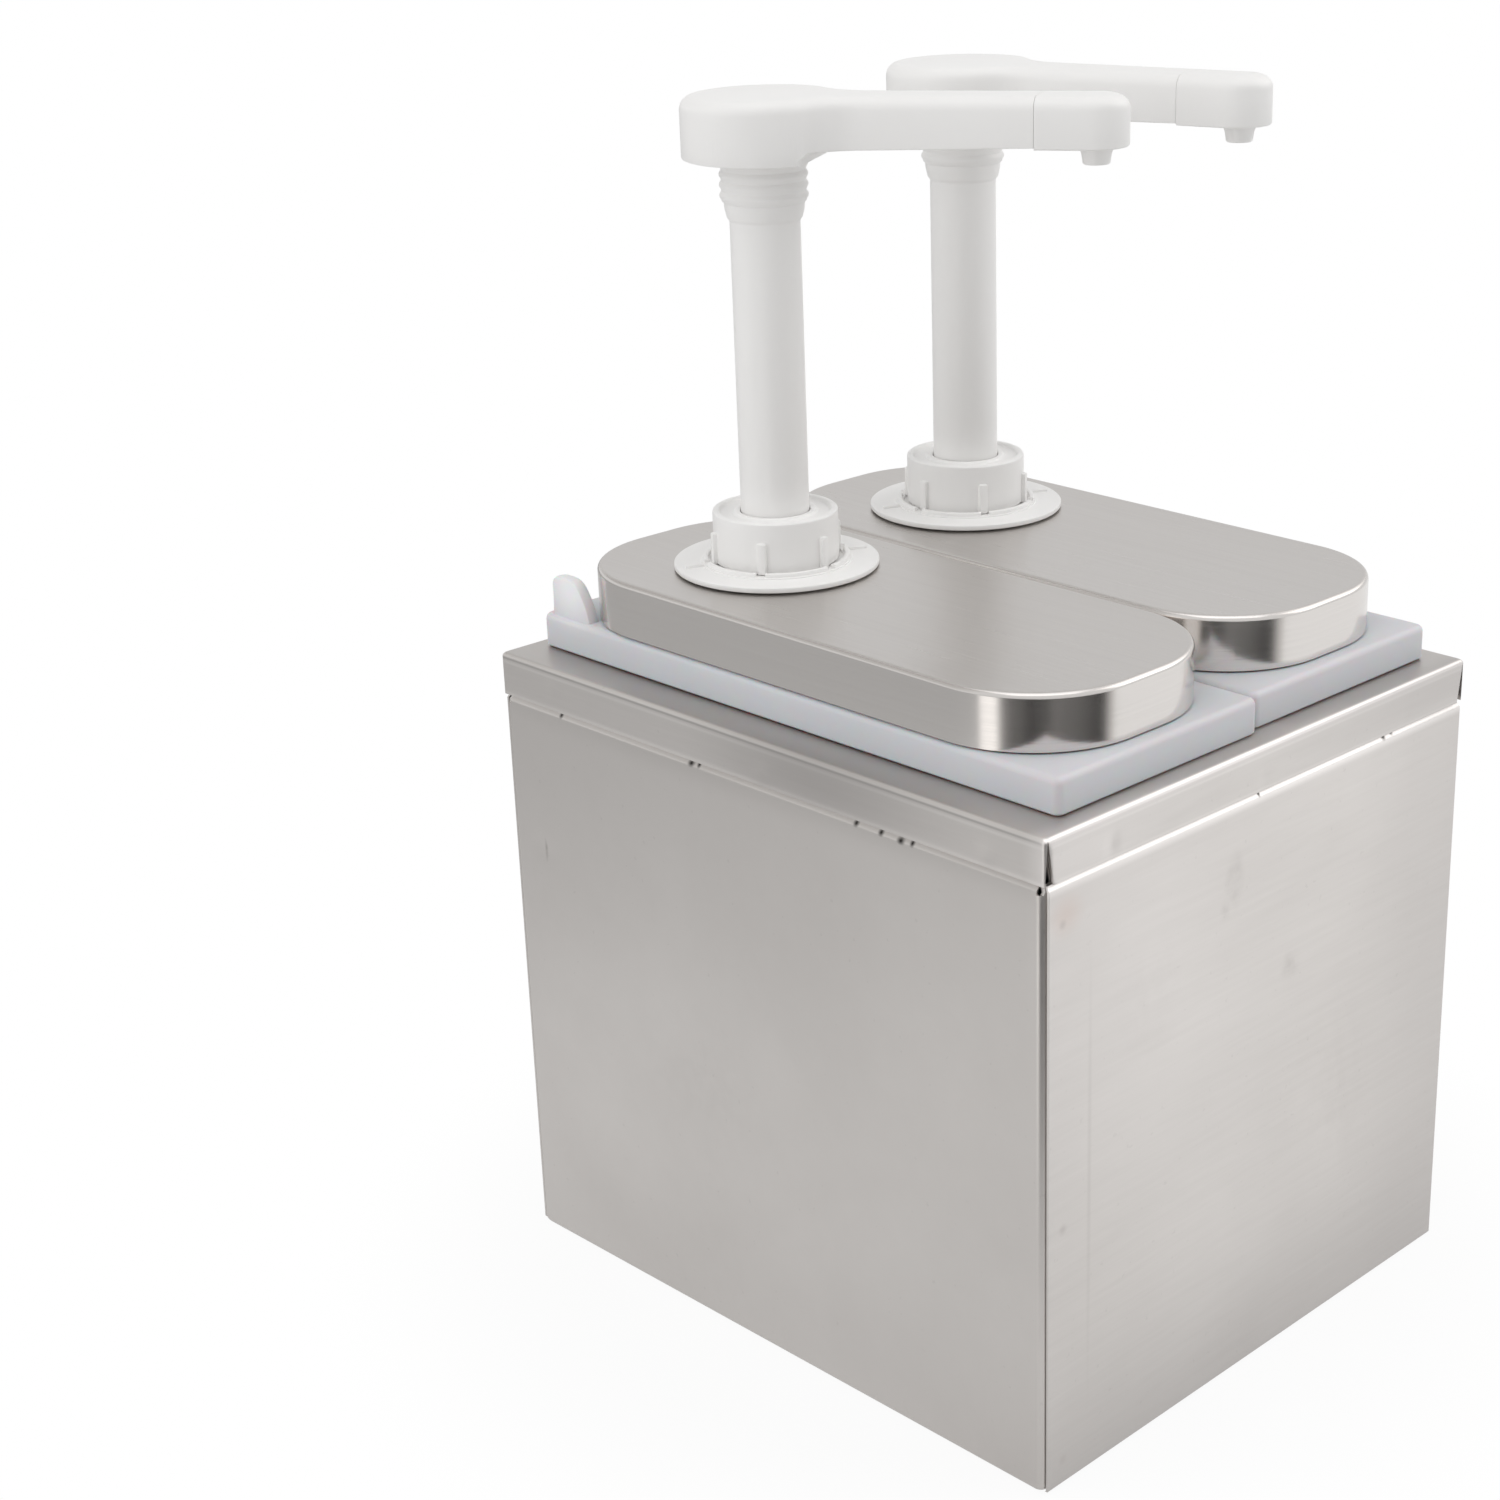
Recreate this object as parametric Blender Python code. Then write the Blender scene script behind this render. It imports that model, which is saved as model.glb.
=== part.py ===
"""Two-pump condiment dispenser: a folded stainless box, two lift-out tanks, and two covers that carry the pumps.

Metres, +Z up. The origin is at the centre of the box's underside, and the spouts point to -Y.
"""

import math

import bmesh
import bpy
from mathutils import Matrix, Vector

# Fits and sheet metal
FIT_GAP = 0.0003
RUNNING_GAP = 0.0004
SHEET = 0.0008
OVERRUN = 0.004

# Box
CASE_WIDTH = 0.205
CASE_DEPTH = 0.240
CASE_HEIGHT = 0.214
CASE_BEND = 0.0026
CASE_FLANGE = 0.017
BAND_HEIGHT = 0.0143
BAND_BEND = 0.0014
BAND_CORNER_GAP = 0.0022
SHOULDER_HEIGHT = 0.0022
PANEL_SIDE_MARGIN = 0.0014
PANEL_FOOT = 0.0010

# Places of the two tanks, as measured off the box's centre
UNIT_SHIFT_X = 0.0029
UNIT_SHIFT_Y = 0.0023
UNIT_STAGGER = 0.0012

# Tank, moulded with a thick rim that hangs on the top frame
RIM_SIDE_MARGIN = 0.0110
RIM_END_MARGIN = 0.0066
RIM_SPLIT = 0.0010
RIM_THICKNESS = 0.0114
RIM_CORNER = 0.0030
RIM_EDGE = 0.0010
TANK_SIDE_INSET = 0.01035
TANK_END_INSET = 0.0145
TANK_CORNER_SHARE = 0.43
TANK_WALL = 0.003
TANK_FOOT = 0.020
FRAME_CLEARANCE = 0.0015
TAB_HEIGHT = 0.0133
TAB_BASE = 0.0184
TAB_REAR_INSET = 0.0041
TAB_THICKNESS = 0.0045

# The tab's side view, as shares of its base (from the rear) and of its height
TAB_SHARES = (
    (0.0, 0.80),
    (0.05, 0.93),
    (0.14, 1.0),
    (0.46, 1.0),
    (0.60, 0.92),
    (0.70, 0.73),
    (0.81, 0.54),
    (0.92, 0.30),
    (0.97, 0.14),
    (1.0, 0.0),
)

# Cover
COVER_SIDE_INSET = 0.0002
COVER_END_INSET = 0.0055
COVER_END_FLAT = 0.0156
COVER_HEIGHT = 0.0180
COVER_EDGE = 0.0018
COVER_SHEET = 0.0010

# Place of the pump on its cover
PUMP_SHIFT_X = 0.0021
PUMP_END_INSET = 0.0576

# Pump barrel and stem
BARREL_BORE = 0.0124
BARREL_WALL = 0.0016
BARREL_LENGTH = 0.1453
BARREL_LIP = 0.0020
BARREL_LIP_REACH = 0.0032
STEM_RADIUS = 0.0110
STEM_BORE = 0.0075
STROKE = 0.085

# Flange, nut and collar that clamp the pump to the cover
FLANGE_RADIUS = 0.0335
FLANGE_THICKNESS = 0.0018
FLANGE_EDGE = 0.0006
HUB_INNER = 0.0212
HUB_OUTER = 0.0240
HUB_HEIGHT = 0.0013
NECK_WALL = 0.0019
NECK_RISE = 0.0109
NECK_DROP = 0.0183
FLANGE_RIB_WIDTH = 0.0016
GASKET_THICKNESS = 0.0015
GASKET_RADIUS = 0.0255
NUT_HEIGHT = 0.0085
NUT_RADIUS = 0.0240
NUT_LUG_SIZE = 0.0060
NUT_LUG_REACH = 0.0030
COLLAR_RADIUS = 0.0202
COLLAR_HEIGHT = 0.0166
COLLAR_CAP = 0.0034
COLLAR_EDGE = 0.0010
COLLAR_RIM = 0.0022
COLLAR_RECESS = 0.0010
COLLAR_RIB_HEIGHT = 0.0070
COLLAR_RIB_WIDTH = 0.0017
COLLAR_RIB_REACH = 0.0008

# Ridged neck under the head
RIDGE_TOP_DROP = 0.0003
RIDGE_RADIUS = 0.0138
RIDGE_DEPTH = 0.0006
RIDGE_PITCH = 0.0032
RIDGE_COUNT = 4
NECK_STEP_RADIUS = 0.0121
NECK_STEP_HEIGHT = 0.0060

# Head and spout
HEAD_UNDERSIDE = 0.1130
HEAD_HEIGHT = 0.0194
HEAD_RADIUS = 0.0250
HEAD_EDGE = 0.0036
HEAD_STEP = 0.0003
SOCKET_DEPTH = 0.0154
SOCKET_GAP = 0.0003
SPIGOT_RADIUS = 0.0110
SPIGOT_LENGTH = 0.0070
SPOUT_REACH = 0.1050
SPOUT_WIDTH = 0.0200
SPOUT_DEPTH = 0.0150
SPOUT_WAIST = 0.0200
SPOUT_ROOT_DROP = 0.0015
SPOUT_RISE = 0.0210
SEAM_REACH = 0.0870
NOSE_DROP = 0.0006
NOSE_SPIGOT_RADIUS = 0.0050
NOSE_SPIGOT_LENGTH = 0.0060
CHANNEL_RADIUS = 0.0033
CHANNEL_DROP = 0.0075
NOZZLE_RADIUS = 0.0050
NOZZLE_TIP_RADIUS = 0.0042
NOZZLE_LENGTH = 0.0051
NOZZLE_BORE = 0.0026

# Valves, piston and spring
BALL_RADIUS = 0.0050
BALL_LIFT = 0.0030
SEAT_BORE = 0.0035
BALL_CLEARANCE = 0.0010
CAGE_WALL = 0.0015
CAGE_LIP = 0.0013
SEAT_THICKNESS = 0.0040
FOOT_PLUG_HEIGHT = 0.0044
FOOT_LIP = 0.0020
FOOT_SPIGOT_RADIUS = 0.0062
FOOT_SPIGOT_LENGTH = 0.0110
DIP_TUBE_WALL = 0.0015
DIP_TUBE_FOOT_CLEARANCE = 0.0070
PISTON_DROP = 0.0136
PISTON_TAIL_RADIUS = 0.0070
PISTON_TAIL_LENGTH = 0.0075
SEAL_THICKNESS = 0.0024
SEAL_HEIGHT = 0.0060
SEAL_DROP = 0.0080
SPRING_WIRE = 0.0010
SPRING_TURNS = 9

# Ways that the spouts point at rest, from -Y towards +X
UNITS = {"left": (-1, math.radians(30)), "right": (1, math.radians(9))}

# Facets
FACETS = 24
INSIDE_FACETS = 16
CORNER_STEPS = 4
COVER_CORNER_STEPS = 7
EDGE_STEPS = 2

# Plan sizes that follow from the box
RIM_WIDTH = (CASE_WIDTH - 2 * RIM_SIDE_MARGIN - RIM_SPLIT) / 2
RIM_LENGTH = CASE_DEPTH - 2 * RIM_END_MARGIN
UNIT_PITCH = RIM_WIDTH + RIM_SPLIT
TANK_WIDTH = RIM_WIDTH - 2 * TANK_SIDE_INSET
TANK_LENGTH = RIM_LENGTH - 2 * TANK_END_INSET
TANK_CORNER = TANK_WIDTH * TANK_CORNER_SHARE
COVER_WIDTH = RIM_WIDTH - 2 * COVER_SIDE_INSET
COVER_LENGTH = RIM_LENGTH - 2 * COVER_END_INSET
COVER_CORNER = (COVER_WIDTH - COVER_END_FLAT) / 2
PUMP_SHIFT_Y = COVER_LENGTH / 2 - PUMP_END_INSET

# Heights and sizes that follow from the values above
RIM_BOTTOM = CASE_HEIGHT + FIT_GAP
RIM_TOP = RIM_BOTTOM + RIM_THICKNESS
COVER_BOTTOM = RIM_TOP + FIT_GAP
COVER_TOP = COVER_BOTTOM + COVER_HEIGHT
COVER_UNDERSIDE = COVER_TOP - COVER_SHEET
FLANGE_BOTTOM = COVER_TOP + FIT_GAP
FLANGE_TOP = FLANGE_BOTTOM + FLANGE_THICKNESS
BARREL_RADIUS = BARREL_BORE + BARREL_WALL
NECK_BORE = BARREL_RADIUS + FIT_GAP
LOWER_NECK_RADIUS = NECK_BORE + NECK_WALL
UPPER_NECK_RADIUS = BARREL_RADIUS + BARREL_LIP_REACH
NECK_TOP = FLANGE_TOP + NECK_RISE
BARREL_TOP = NECK_TOP + FIT_GAP + BARREL_LIP
BARREL_BOTTOM = NECK_TOP + FIT_GAP - BARREL_LENGTH
COLLAR_BOTTOM = FLANGE_TOP + FIT_GAP
COLLAR_TOP = COLLAR_BOTTOM + COLLAR_HEIGHT
HEAD_BOTTOM = COLLAR_TOP + HEAD_UNDERSIDE
HEAD_TOP = HEAD_BOTTOM + HEAD_HEIGHT
PISTON_TOP = BARREL_TOP - PISTON_DROP
PUMP_CLEAR_HOLE = LOWER_NECK_RADIUS + RUNNING_GAP
SEAT_TO_CENTRE = math.sqrt(BALL_RADIUS**2 - SEAT_BORE**2) + FIT_GAP
CHAMBER_RADIUS = BALL_RADIUS + BALL_CLEARANCE
CHAMBER_HEIGHT = SEAT_TO_CENTRE + BALL_RADIUS + BALL_LIFT + FIT_GAP
PISTON_TAIL_TOP = PISTON_TOP + FIT_GAP
PISTON_SEAT = PISTON_TAIL_TOP - PISTON_TAIL_LENGTH - CHAMBER_HEIGHT
PISTON_BOTTOM = PISTON_SEAT - SEAT_THICKNESS
FOOT_SEAT = BARREL_BOTTOM + FIT_GAP + FOOT_LIP
FOOT_SHOULDER = BARREL_BOTTOM + FOOT_PLUG_HEIGHT
DIP_TUBE_BORE = FOOT_SPIGOT_RADIUS + FIT_GAP


def clear_scene():
    for obj in list(bpy.data.objects):
        bpy.data.objects.remove(obj, do_unlink=True)


def make_material(name, color, roughness, metallic=0.0):
    material = bpy.data.materials.new(name)
    material.use_nodes = True
    shader = material.node_tree.nodes["Principled BSDF"]
    shader.inputs["Base Color"].default_value = (*color, 1)
    shader.inputs["Roughness"].default_value = roughness
    shader.inputs["Metallic"].default_value = metallic
    return material


def add_empty(name, location, turn=0.0, parent=None):
    empty = bpy.data.objects.new(name, None)
    empty.location = location
    empty.rotation_euler.z = turn
    empty.parent = parent
    bpy.context.collection.objects.link(empty)
    return empty


def add_mesh(name, bm, parent=None, material=None, smooth=True):
    bmesh.ops.remove_doubles(bm, verts=bm.verts, dist=1e-6)
    bmesh.ops.recalc_face_normals(bm, faces=bm.faces)
    mesh = bpy.data.meshes.new(name)
    bm.to_mesh(mesh)
    bm.free()
    obj = bpy.data.objects.new(name, mesh)
    bpy.context.collection.objects.link(obj)
    obj.parent = parent
    if material:
        mesh.materials.append(material)
    if smooth:
        mesh.shade_smooth()
        mesh.set_sharp_from_angle(angle=math.radians(35))
    return obj


def boolean(obj, other, operation):
    """Cuts or joins with a helper that the finished model doesn't show."""
    other.hide_render = True
    other.display_type = "WIRE"
    modifier = obj.modifiers.new(f"{operation.lower()}_{other.name}", "BOOLEAN")
    modifier.operation = operation
    modifier.object = other
    modifier.solver = "EXACT"


def rounded_rectangle(width, length, corner, steps=CORNER_STEPS):
    """Plan points of a rectangle with round corners, centred on zero, turning left."""
    points = []
    quarter = math.pi / 2
    for index, (side_x, side_y) in enumerate(((1, 1), (-1, 1), (-1, -1), (1, -1))):
        centre_x = side_x * (width / 2 - corner)
        centre_y = side_y * (length / 2 - corner)
        for step in range(steps + 1):
            angle = quarter * (index + step / steps)
            x = centre_x + corner * math.cos(angle)
            y = centre_y + corner * math.sin(angle)
            points.append((x, y))
    return points


def stack(levels, steps=CORNER_STEPS):
    """A closed skin through plan rings given as (width, length, corner, height), with a flat face at each end."""
    bm = bmesh.new()
    rings = []
    for width, length, corner, height in levels:
        outline = rounded_rectangle(width, length, corner, steps)
        rings.append([bm.verts.new((x, y, height)) for x, y in outline])
    for lower, upper in zip(rings, rings[1:]):
        for index in range(len(lower)):
            following = (index + 1) % len(lower)
            bm.faces.new((lower[index], lower[following], upper[following], upper[index]))
    bm.faces.new(rings[0])
    bm.faces.new(rings[-1])
    return bm


def lathe(profile, facets=FACETS, closed=True):
    """Turns (radius, height) points about the Z axis. An open profile starts and ends on the axis."""
    bm = bmesh.new()
    verts = [bm.verts.new((radius, 0, height)) for radius, height in profile]
    pairs = list(zip(verts, verts[1:]))
    if closed:
        pairs.append((verts[-1], verts[0]))
    edges = [bm.edges.new(pair) for pair in pairs]
    bmesh.ops.spin(
        bm,
        geom=verts + edges,
        axis=(0, 0, 1),
        cent=(0, 0, 0),
        angle=math.tau,
        steps=facets,
        use_merge=True,
    )
    return bm


def block(low, high):
    bm = bmesh.new()
    size = Vector(high) - Vector(low)
    middle = (Vector(high) + Vector(low)) / 2
    place = Matrix.Translation(middle) @ Matrix.Diagonal((*size, 1))
    bmesh.ops.create_cube(bm, size=1, matrix=place)
    return bm


def blocks_round_axis(count, inner, outer, width, bottom, top, start=0.0):
    """Boxes spaced evenly round the Z axis, each reaching from one radius to another."""
    bm = bmesh.new()
    size = (outer - inner, width, top - bottom)
    middle = Vector(((outer + inner) / 2, 0, (top + bottom) / 2))
    for index in range(count):
        turn = Matrix.Rotation(start + math.tau * index / count, 4, "Z")
        place = turn @ Matrix.Translation(middle) @ Matrix.Diagonal((*size, 1))
        bmesh.ops.create_cube(bm, size=1, matrix=place)
    return bm


def prism(outline, bottom, top):
    """Extrudes plan points upwards."""
    bm = bmesh.new()
    base = bm.faces.new([bm.verts.new((x, y, bottom)) for x, y in outline])
    moved = bmesh.ops.extrude_face_region(bm, geom=[base])["geom"]
    verts = [item for item in moved if isinstance(item, bmesh.types.BMVert)]
    bmesh.ops.translate(bm, verts=verts, vec=(0, 0, top - bottom))
    return bm


def bevel_top(bm, height, radius, keep=None):
    """Rounds the upper edges, apart from those whose middle keep() names."""
    edges = []
    for edge in bm.edges:
        middle = (edge.verts[0].co + edge.verts[1].co) / 2
        level = all(abs(vert.co.z - height) < FIT_GAP for vert in edge.verts)
        if level and not (keep and keep(middle)):
            edges.append(edge)
    bmesh.ops.bevel(bm, geom=edges, offset=radius, segments=EDGE_STEPS, profile=0.5, affect="EDGES")


def raise_along_spout(bm):
    """The spout rises gently from the head to the nozzle."""
    for vert in bm.verts:
        vert.co.z -= SPOUT_RISE * vert.co.y


def wall_levels(width, length, bend, top, bottom, foot_bend):
    """Rings of an open-topped folded tray: up the inside to the rim, then down the outside."""
    tuck = SHEET + FIT_GAP
    shoulder = top - BAND_HEIGHT - SHOULDER_HEIGHT
    inner_bend = bend - SHEET
    inner_foot = foot_bend - SHEET
    levels = []

    def ring(inset, height, corner):
        levels.append((width - 2 * inset, length - 2 * inset, corner, height))

    half = 1 - math.sqrt(0.5)
    ring(SHEET + inner_foot, bottom + SHEET, inner_bend)
    ring(SHEET + inner_foot * half, bottom + SHEET + inner_foot * half, inner_bend)
    ring(SHEET, bottom + SHEET + inner_foot, inner_bend)
    ring(SHEET, shoulder, inner_bend)
    ring(SHEET + tuck, shoulder + SHOULDER_HEIGHT, inner_bend)
    ring(SHEET + tuck, top - SHEET - FIT_GAP, inner_bend)
    ring(tuck, top - SHEET - FIT_GAP, bend)
    ring(tuck, shoulder + SHOULDER_HEIGHT, bend)
    ring(0, shoulder, bend)
    ring(0, bottom + foot_bend, bend)
    ring(foot_bend * half, bottom + foot_bend * half, bend)
    ring(foot_bend, bottom, bend)
    return levels


def make_case_wrap(steel):
    """Left wall, bottom and right wall in one folded sheet, with flanges turned in at the front and the rear."""
    length = CASE_DEPTH - 2 * (SHEET + FIT_GAP)
    levels = wall_levels(CASE_WIDTH, length, CASE_BEND, CASE_HEIGHT, 0, CASE_BEND)
    wrap = add_mesh("case_wrap", stack(levels), material=steel)
    window = CASE_WIDTH / 2 - CASE_FLANGE
    reach = CASE_DEPTH / 2 + OVERRUN
    cutter = add_mesh("case_window", block((-window, -reach, CASE_FLANGE), (window, reach, CASE_HEIGHT + OVERRUN)))
    boolean(wrap, cutter, "DIFFERENCE")


def make_panel(name, side, steel):
    """A flat sheet over the turned-in flanges, with its top edge tucked behind the band."""
    outer = CASE_DEPTH / 2
    inner = outer - SHEET
    tuck = SHEET + FIT_GAP
    shoulder = CASE_HEIGHT - BAND_HEIGHT - SHOULDER_HEIGHT
    tucked = shoulder + SHOULDER_HEIGHT
    top = CASE_HEIGHT - SHEET - FIT_GAP
    section = [
        (outer, PANEL_FOOT),
        (outer, shoulder),
        (outer - tuck, tucked),
        (outer - tuck, top),
        (inner - tuck, top),
        (inner - tuck, tucked),
        (inner, shoulder),
        (inner, PANEL_FOOT),
    ]
    half_width = CASE_WIDTH / 2 - PANEL_SIDE_MARGIN
    bm = bmesh.new()
    ends = []
    for x in (-half_width, half_width):
        ends.append([bm.verts.new((x, side * y, z)) for y, z in section])
        bm.faces.new(ends[-1])
    for index in range(len(section)):
        following = (index + 1) % len(section)
        bm.faces.new((ends[0][index], ends[0][following], ends[1][following], ends[1][index]))
    add_mesh(name, bm, material=steel)


def unit_centres():
    for side, (sign, turn) in UNITS.items():
        centre = (UNIT_SHIFT_X + sign * UNIT_PITCH / 2, UNIT_SHIFT_Y + sign * UNIT_STAGGER, 0)
        yield side, sign, turn, centre


def make_top_frame(steel):
    """The frame that the tanks hang on, with its band turned down over the walls and an open slit at each corner."""
    half = 1 - math.sqrt(0.5)
    inner_bend = BAND_BEND - SHEET
    underside = CASE_HEIGHT - SHEET
    foot = CASE_HEIGHT - BAND_HEIGHT
    levels = []

    def ring(inset, height, corner):
        levels.append((CASE_WIDTH - 2 * inset, CASE_DEPTH - 2 * inset, corner, height))

    ring(SHEET + inner_bend, underside, inner_bend)
    ring(SHEET, underside - inner_bend, inner_bend)
    ring(SHEET, foot, inner_bend)
    ring(0, foot, BAND_BEND)
    ring(0, CASE_HEIGHT - BAND_BEND, BAND_BEND)
    ring(BAND_BEND * half, CASE_HEIGHT - BAND_BEND * half, BAND_BEND)
    ring(BAND_BEND, CASE_HEIGHT, BAND_BEND)
    frame = add_mesh("top_frame", stack(levels), material=steel)
    opening_corner = TANK_CORNER + TANK_WALL + FRAME_CLEARANCE
    spread = 2 * (TANK_WALL + FRAME_CLEARANCE)
    for side, _, _, centre in unit_centres():
        outline = rounded_rectangle(TANK_WIDTH + spread, TANK_LENGTH + spread, opening_corner)
        moved = [(x + centre[0], y + centre[1]) for x, y in outline]
        cutter = add_mesh(f"frame_opening_{side}", prism(moved, foot, CASE_HEIGHT + OVERRUN))
        boolean(frame, cutter, "DIFFERENCE")
    slits = bmesh.new()
    for x_side in (-1, 1):
        for y_side in (-1, 1):
            corner = Vector((x_side * CASE_WIDTH / 2, y_side * CASE_DEPTH / 2, 0))
            points = []
            for height, width in ((foot - OVERRUN, BAND_CORNER_GAP), (CASE_HEIGHT - 2 * BAND_BEND, BAND_CORNER_GAP / 4)):
                reach = BAND_BEND + SHEET
                across = Vector((x_side, -y_side, 0)).normalized() * width / 2
                inwards = Vector((-x_side, -y_side, 0)) * reach
                for along in (inwards, -inwards):
                    for lean in (across, -across):
                        points.append(slits.verts.new(corner + along + lean + Vector((0, 0, height))))
            bmesh.ops.convex_hull(slits, input=points)
    boolean(frame, add_mesh("corner_slits", slits), "DIFFERENCE")


def make_tank(side, sign, parent, plastic):
    width = TANK_WIDTH + 2 * TANK_WALL
    length = TANK_LENGTH + 2 * TANK_WALL
    corner = TANK_CORNER + TANK_WALL
    rim = (RIM_WIDTH, RIM_LENGTH, RIM_CORNER)
    rim_top = (RIM_WIDTH - 2 * RIM_EDGE, RIM_LENGTH - 2 * RIM_EDGE, RIM_CORNER)
    levels = [
        (width - 2 * TANK_WALL, length - 2 * TANK_WALL, TANK_CORNER, TANK_FOOT),
        (width, length, corner, TANK_FOOT + TANK_WALL),
        (width, length, corner, RIM_BOTTOM),
        (*rim, RIM_BOTTOM),
        (*rim, RIM_TOP - RIM_EDGE),
        (*rim_top, RIM_TOP),
        (TANK_WIDTH, TANK_LENGTH, TANK_CORNER, RIM_TOP),
        (TANK_WIDTH, TANK_LENGTH, TANK_CORNER, TANK_FOOT + 2 * TANK_WALL),
        (TANK_WIDTH - 2 * TANK_WALL, TANK_LENGTH - 2 * TANK_WALL, TANK_CORNER - TANK_WALL, TANK_FOOT + TANK_WALL),
    ]
    tank = add_mesh(f"tank_{side}", stack(levels), parent, plastic)
    outer_x = sign * (RIM_WIDTH / 2 - RIM_EDGE)
    inner_x = outer_x - sign * TAB_THICKNESS
    rear_y = RIM_LENGTH / 2 - TAB_REAR_INSET
    low = RIM_TOP - RIM_THICKNESS / 2
    profile = [(rear_y, low)]
    profile += [(rear_y - TAB_BASE * along, RIM_TOP + TAB_HEIGHT * up) for along, up in TAB_SHARES]
    profile.append((rear_y - TAB_BASE, low))
    bm = bmesh.new()
    faces = [[bm.verts.new((x, y, z)) for y, z in profile] for x in (outer_x, inner_x)]
    for face in faces:
        bm.faces.new(face)
    for index in range(len(profile)):
        following = (index + 1) % len(profile)
        bm.faces.new((faces[0][index], faces[0][following], faces[1][following], faces[1][index]))
    boolean(tank, add_mesh(f"tank_tab_{side}", bm, parent), "UNION")


def make_cover(side, parent, steel):
    half = 1 - math.sqrt(0.5)
    inner_edge = COVER_EDGE - COVER_SHEET
    levels = []

    def ring(inset, height):
        levels.append((COVER_WIDTH - 2 * inset, COVER_LENGTH - 2 * inset, COVER_CORNER - inset, height))

    ring(COVER_EDGE, COVER_UNDERSIDE)
    ring(COVER_SHEET + inner_edge * half, COVER_UNDERSIDE - inner_edge * half)
    ring(COVER_SHEET, COVER_UNDERSIDE - inner_edge)
    ring(COVER_SHEET, COVER_BOTTOM)
    ring(0, COVER_BOTTOM)
    ring(0, COVER_TOP - COVER_EDGE)
    ring(COVER_EDGE * half, COVER_TOP - COVER_EDGE * half)
    ring(COVER_EDGE, COVER_TOP)
    cover = add_mesh(f"cover_{side}", stack(levels, COVER_CORNER_STEPS), parent, steel)
    hole = [(0, COVER_BOTTOM), (PUMP_CLEAR_HOLE, COVER_BOTTOM), (PUMP_CLEAR_HOLE, COVER_TOP + OVERRUN)]
    hole.append((0, COVER_TOP + OVERRUN))
    cutter = add_mesh(f"cover_hole_{side}", lathe(hole, closed=False), parent)
    cutter.location = (PUMP_SHIFT_X, PUMP_SHIFT_Y, 0)
    boolean(cover, cutter, "DIFFERENCE")


def make_mounting_flange(side, axis, plastic):
    profile = [
        (NECK_BORE, FLANGE_BOTTOM - NECK_DROP),
        (LOWER_NECK_RADIUS, FLANGE_BOTTOM - NECK_DROP),
        (LOWER_NECK_RADIUS, FLANGE_BOTTOM),
        (FLANGE_RADIUS, FLANGE_BOTTOM),
        (FLANGE_RADIUS, FLANGE_TOP - FLANGE_EDGE),
        (FLANGE_RADIUS - FLANGE_EDGE, FLANGE_TOP),
        (HUB_OUTER, FLANGE_TOP),
        (HUB_OUTER, FLANGE_TOP + HUB_HEIGHT),
        (HUB_INNER, FLANGE_TOP + HUB_HEIGHT),
        (HUB_INNER, FLANGE_TOP),
        (UPPER_NECK_RADIUS, FLANGE_TOP),
        (UPPER_NECK_RADIUS, NECK_TOP),
        (NECK_BORE, NECK_TOP),
    ]
    flange = add_mesh(f"mounting_flange_{side}", lathe(profile), axis, plastic)
    middle = (HUB_OUTER + HUB_INNER) / 2
    edge = FLANGE_RADIUS - 2 * FLANGE_EDGE
    low = FLANGE_TOP - FLANGE_EDGE
    high = FLANGE_TOP + HUB_HEIGHT / 2
    ribs = blocks_round_axis(4, middle, edge, FLANGE_RIB_WIDTH, low, high)
    boolean(flange, add_mesh(f"flange_ribs_{side}", ribs, axis), "UNION")


def make_clamp_ring(side, axis, plastic, rubber):
    """The gasket and the nut that hold the flange from under the cover."""
    top = COVER_UNDERSIDE - FIT_GAP
    bottom = top - GASKET_THICKNESS
    gasket = [(PUMP_CLEAR_HOLE, top), (PUMP_CLEAR_HOLE, bottom), (GASKET_RADIUS, bottom), (GASKET_RADIUS, top)]
    add_mesh(f"flange_gasket_{side}", lathe(gasket, INSIDE_FACETS), axis, rubber)
    nut_top = bottom - FIT_GAP
    nut_bottom = nut_top - NUT_HEIGHT
    bore = LOWER_NECK_RADIUS + RUNNING_GAP
    nut = [(bore, nut_top), (bore, nut_bottom), (NUT_RADIUS, nut_bottom), (NUT_RADIUS, nut_top)]
    ring = add_mesh(f"lock_nut_{side}", lathe(nut, FACETS), axis, plastic)
    reach = NUT_RADIUS + NUT_LUG_REACH
    low = nut_bottom + FIT_GAP
    lugs = blocks_round_axis(6, NUT_RADIUS - NUT_LUG_REACH, reach, NUT_LUG_SIZE, low, nut_top - FIT_GAP)
    boolean(ring, add_mesh(f"nut_lugs_{side}", lugs, axis), "UNION")


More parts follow.
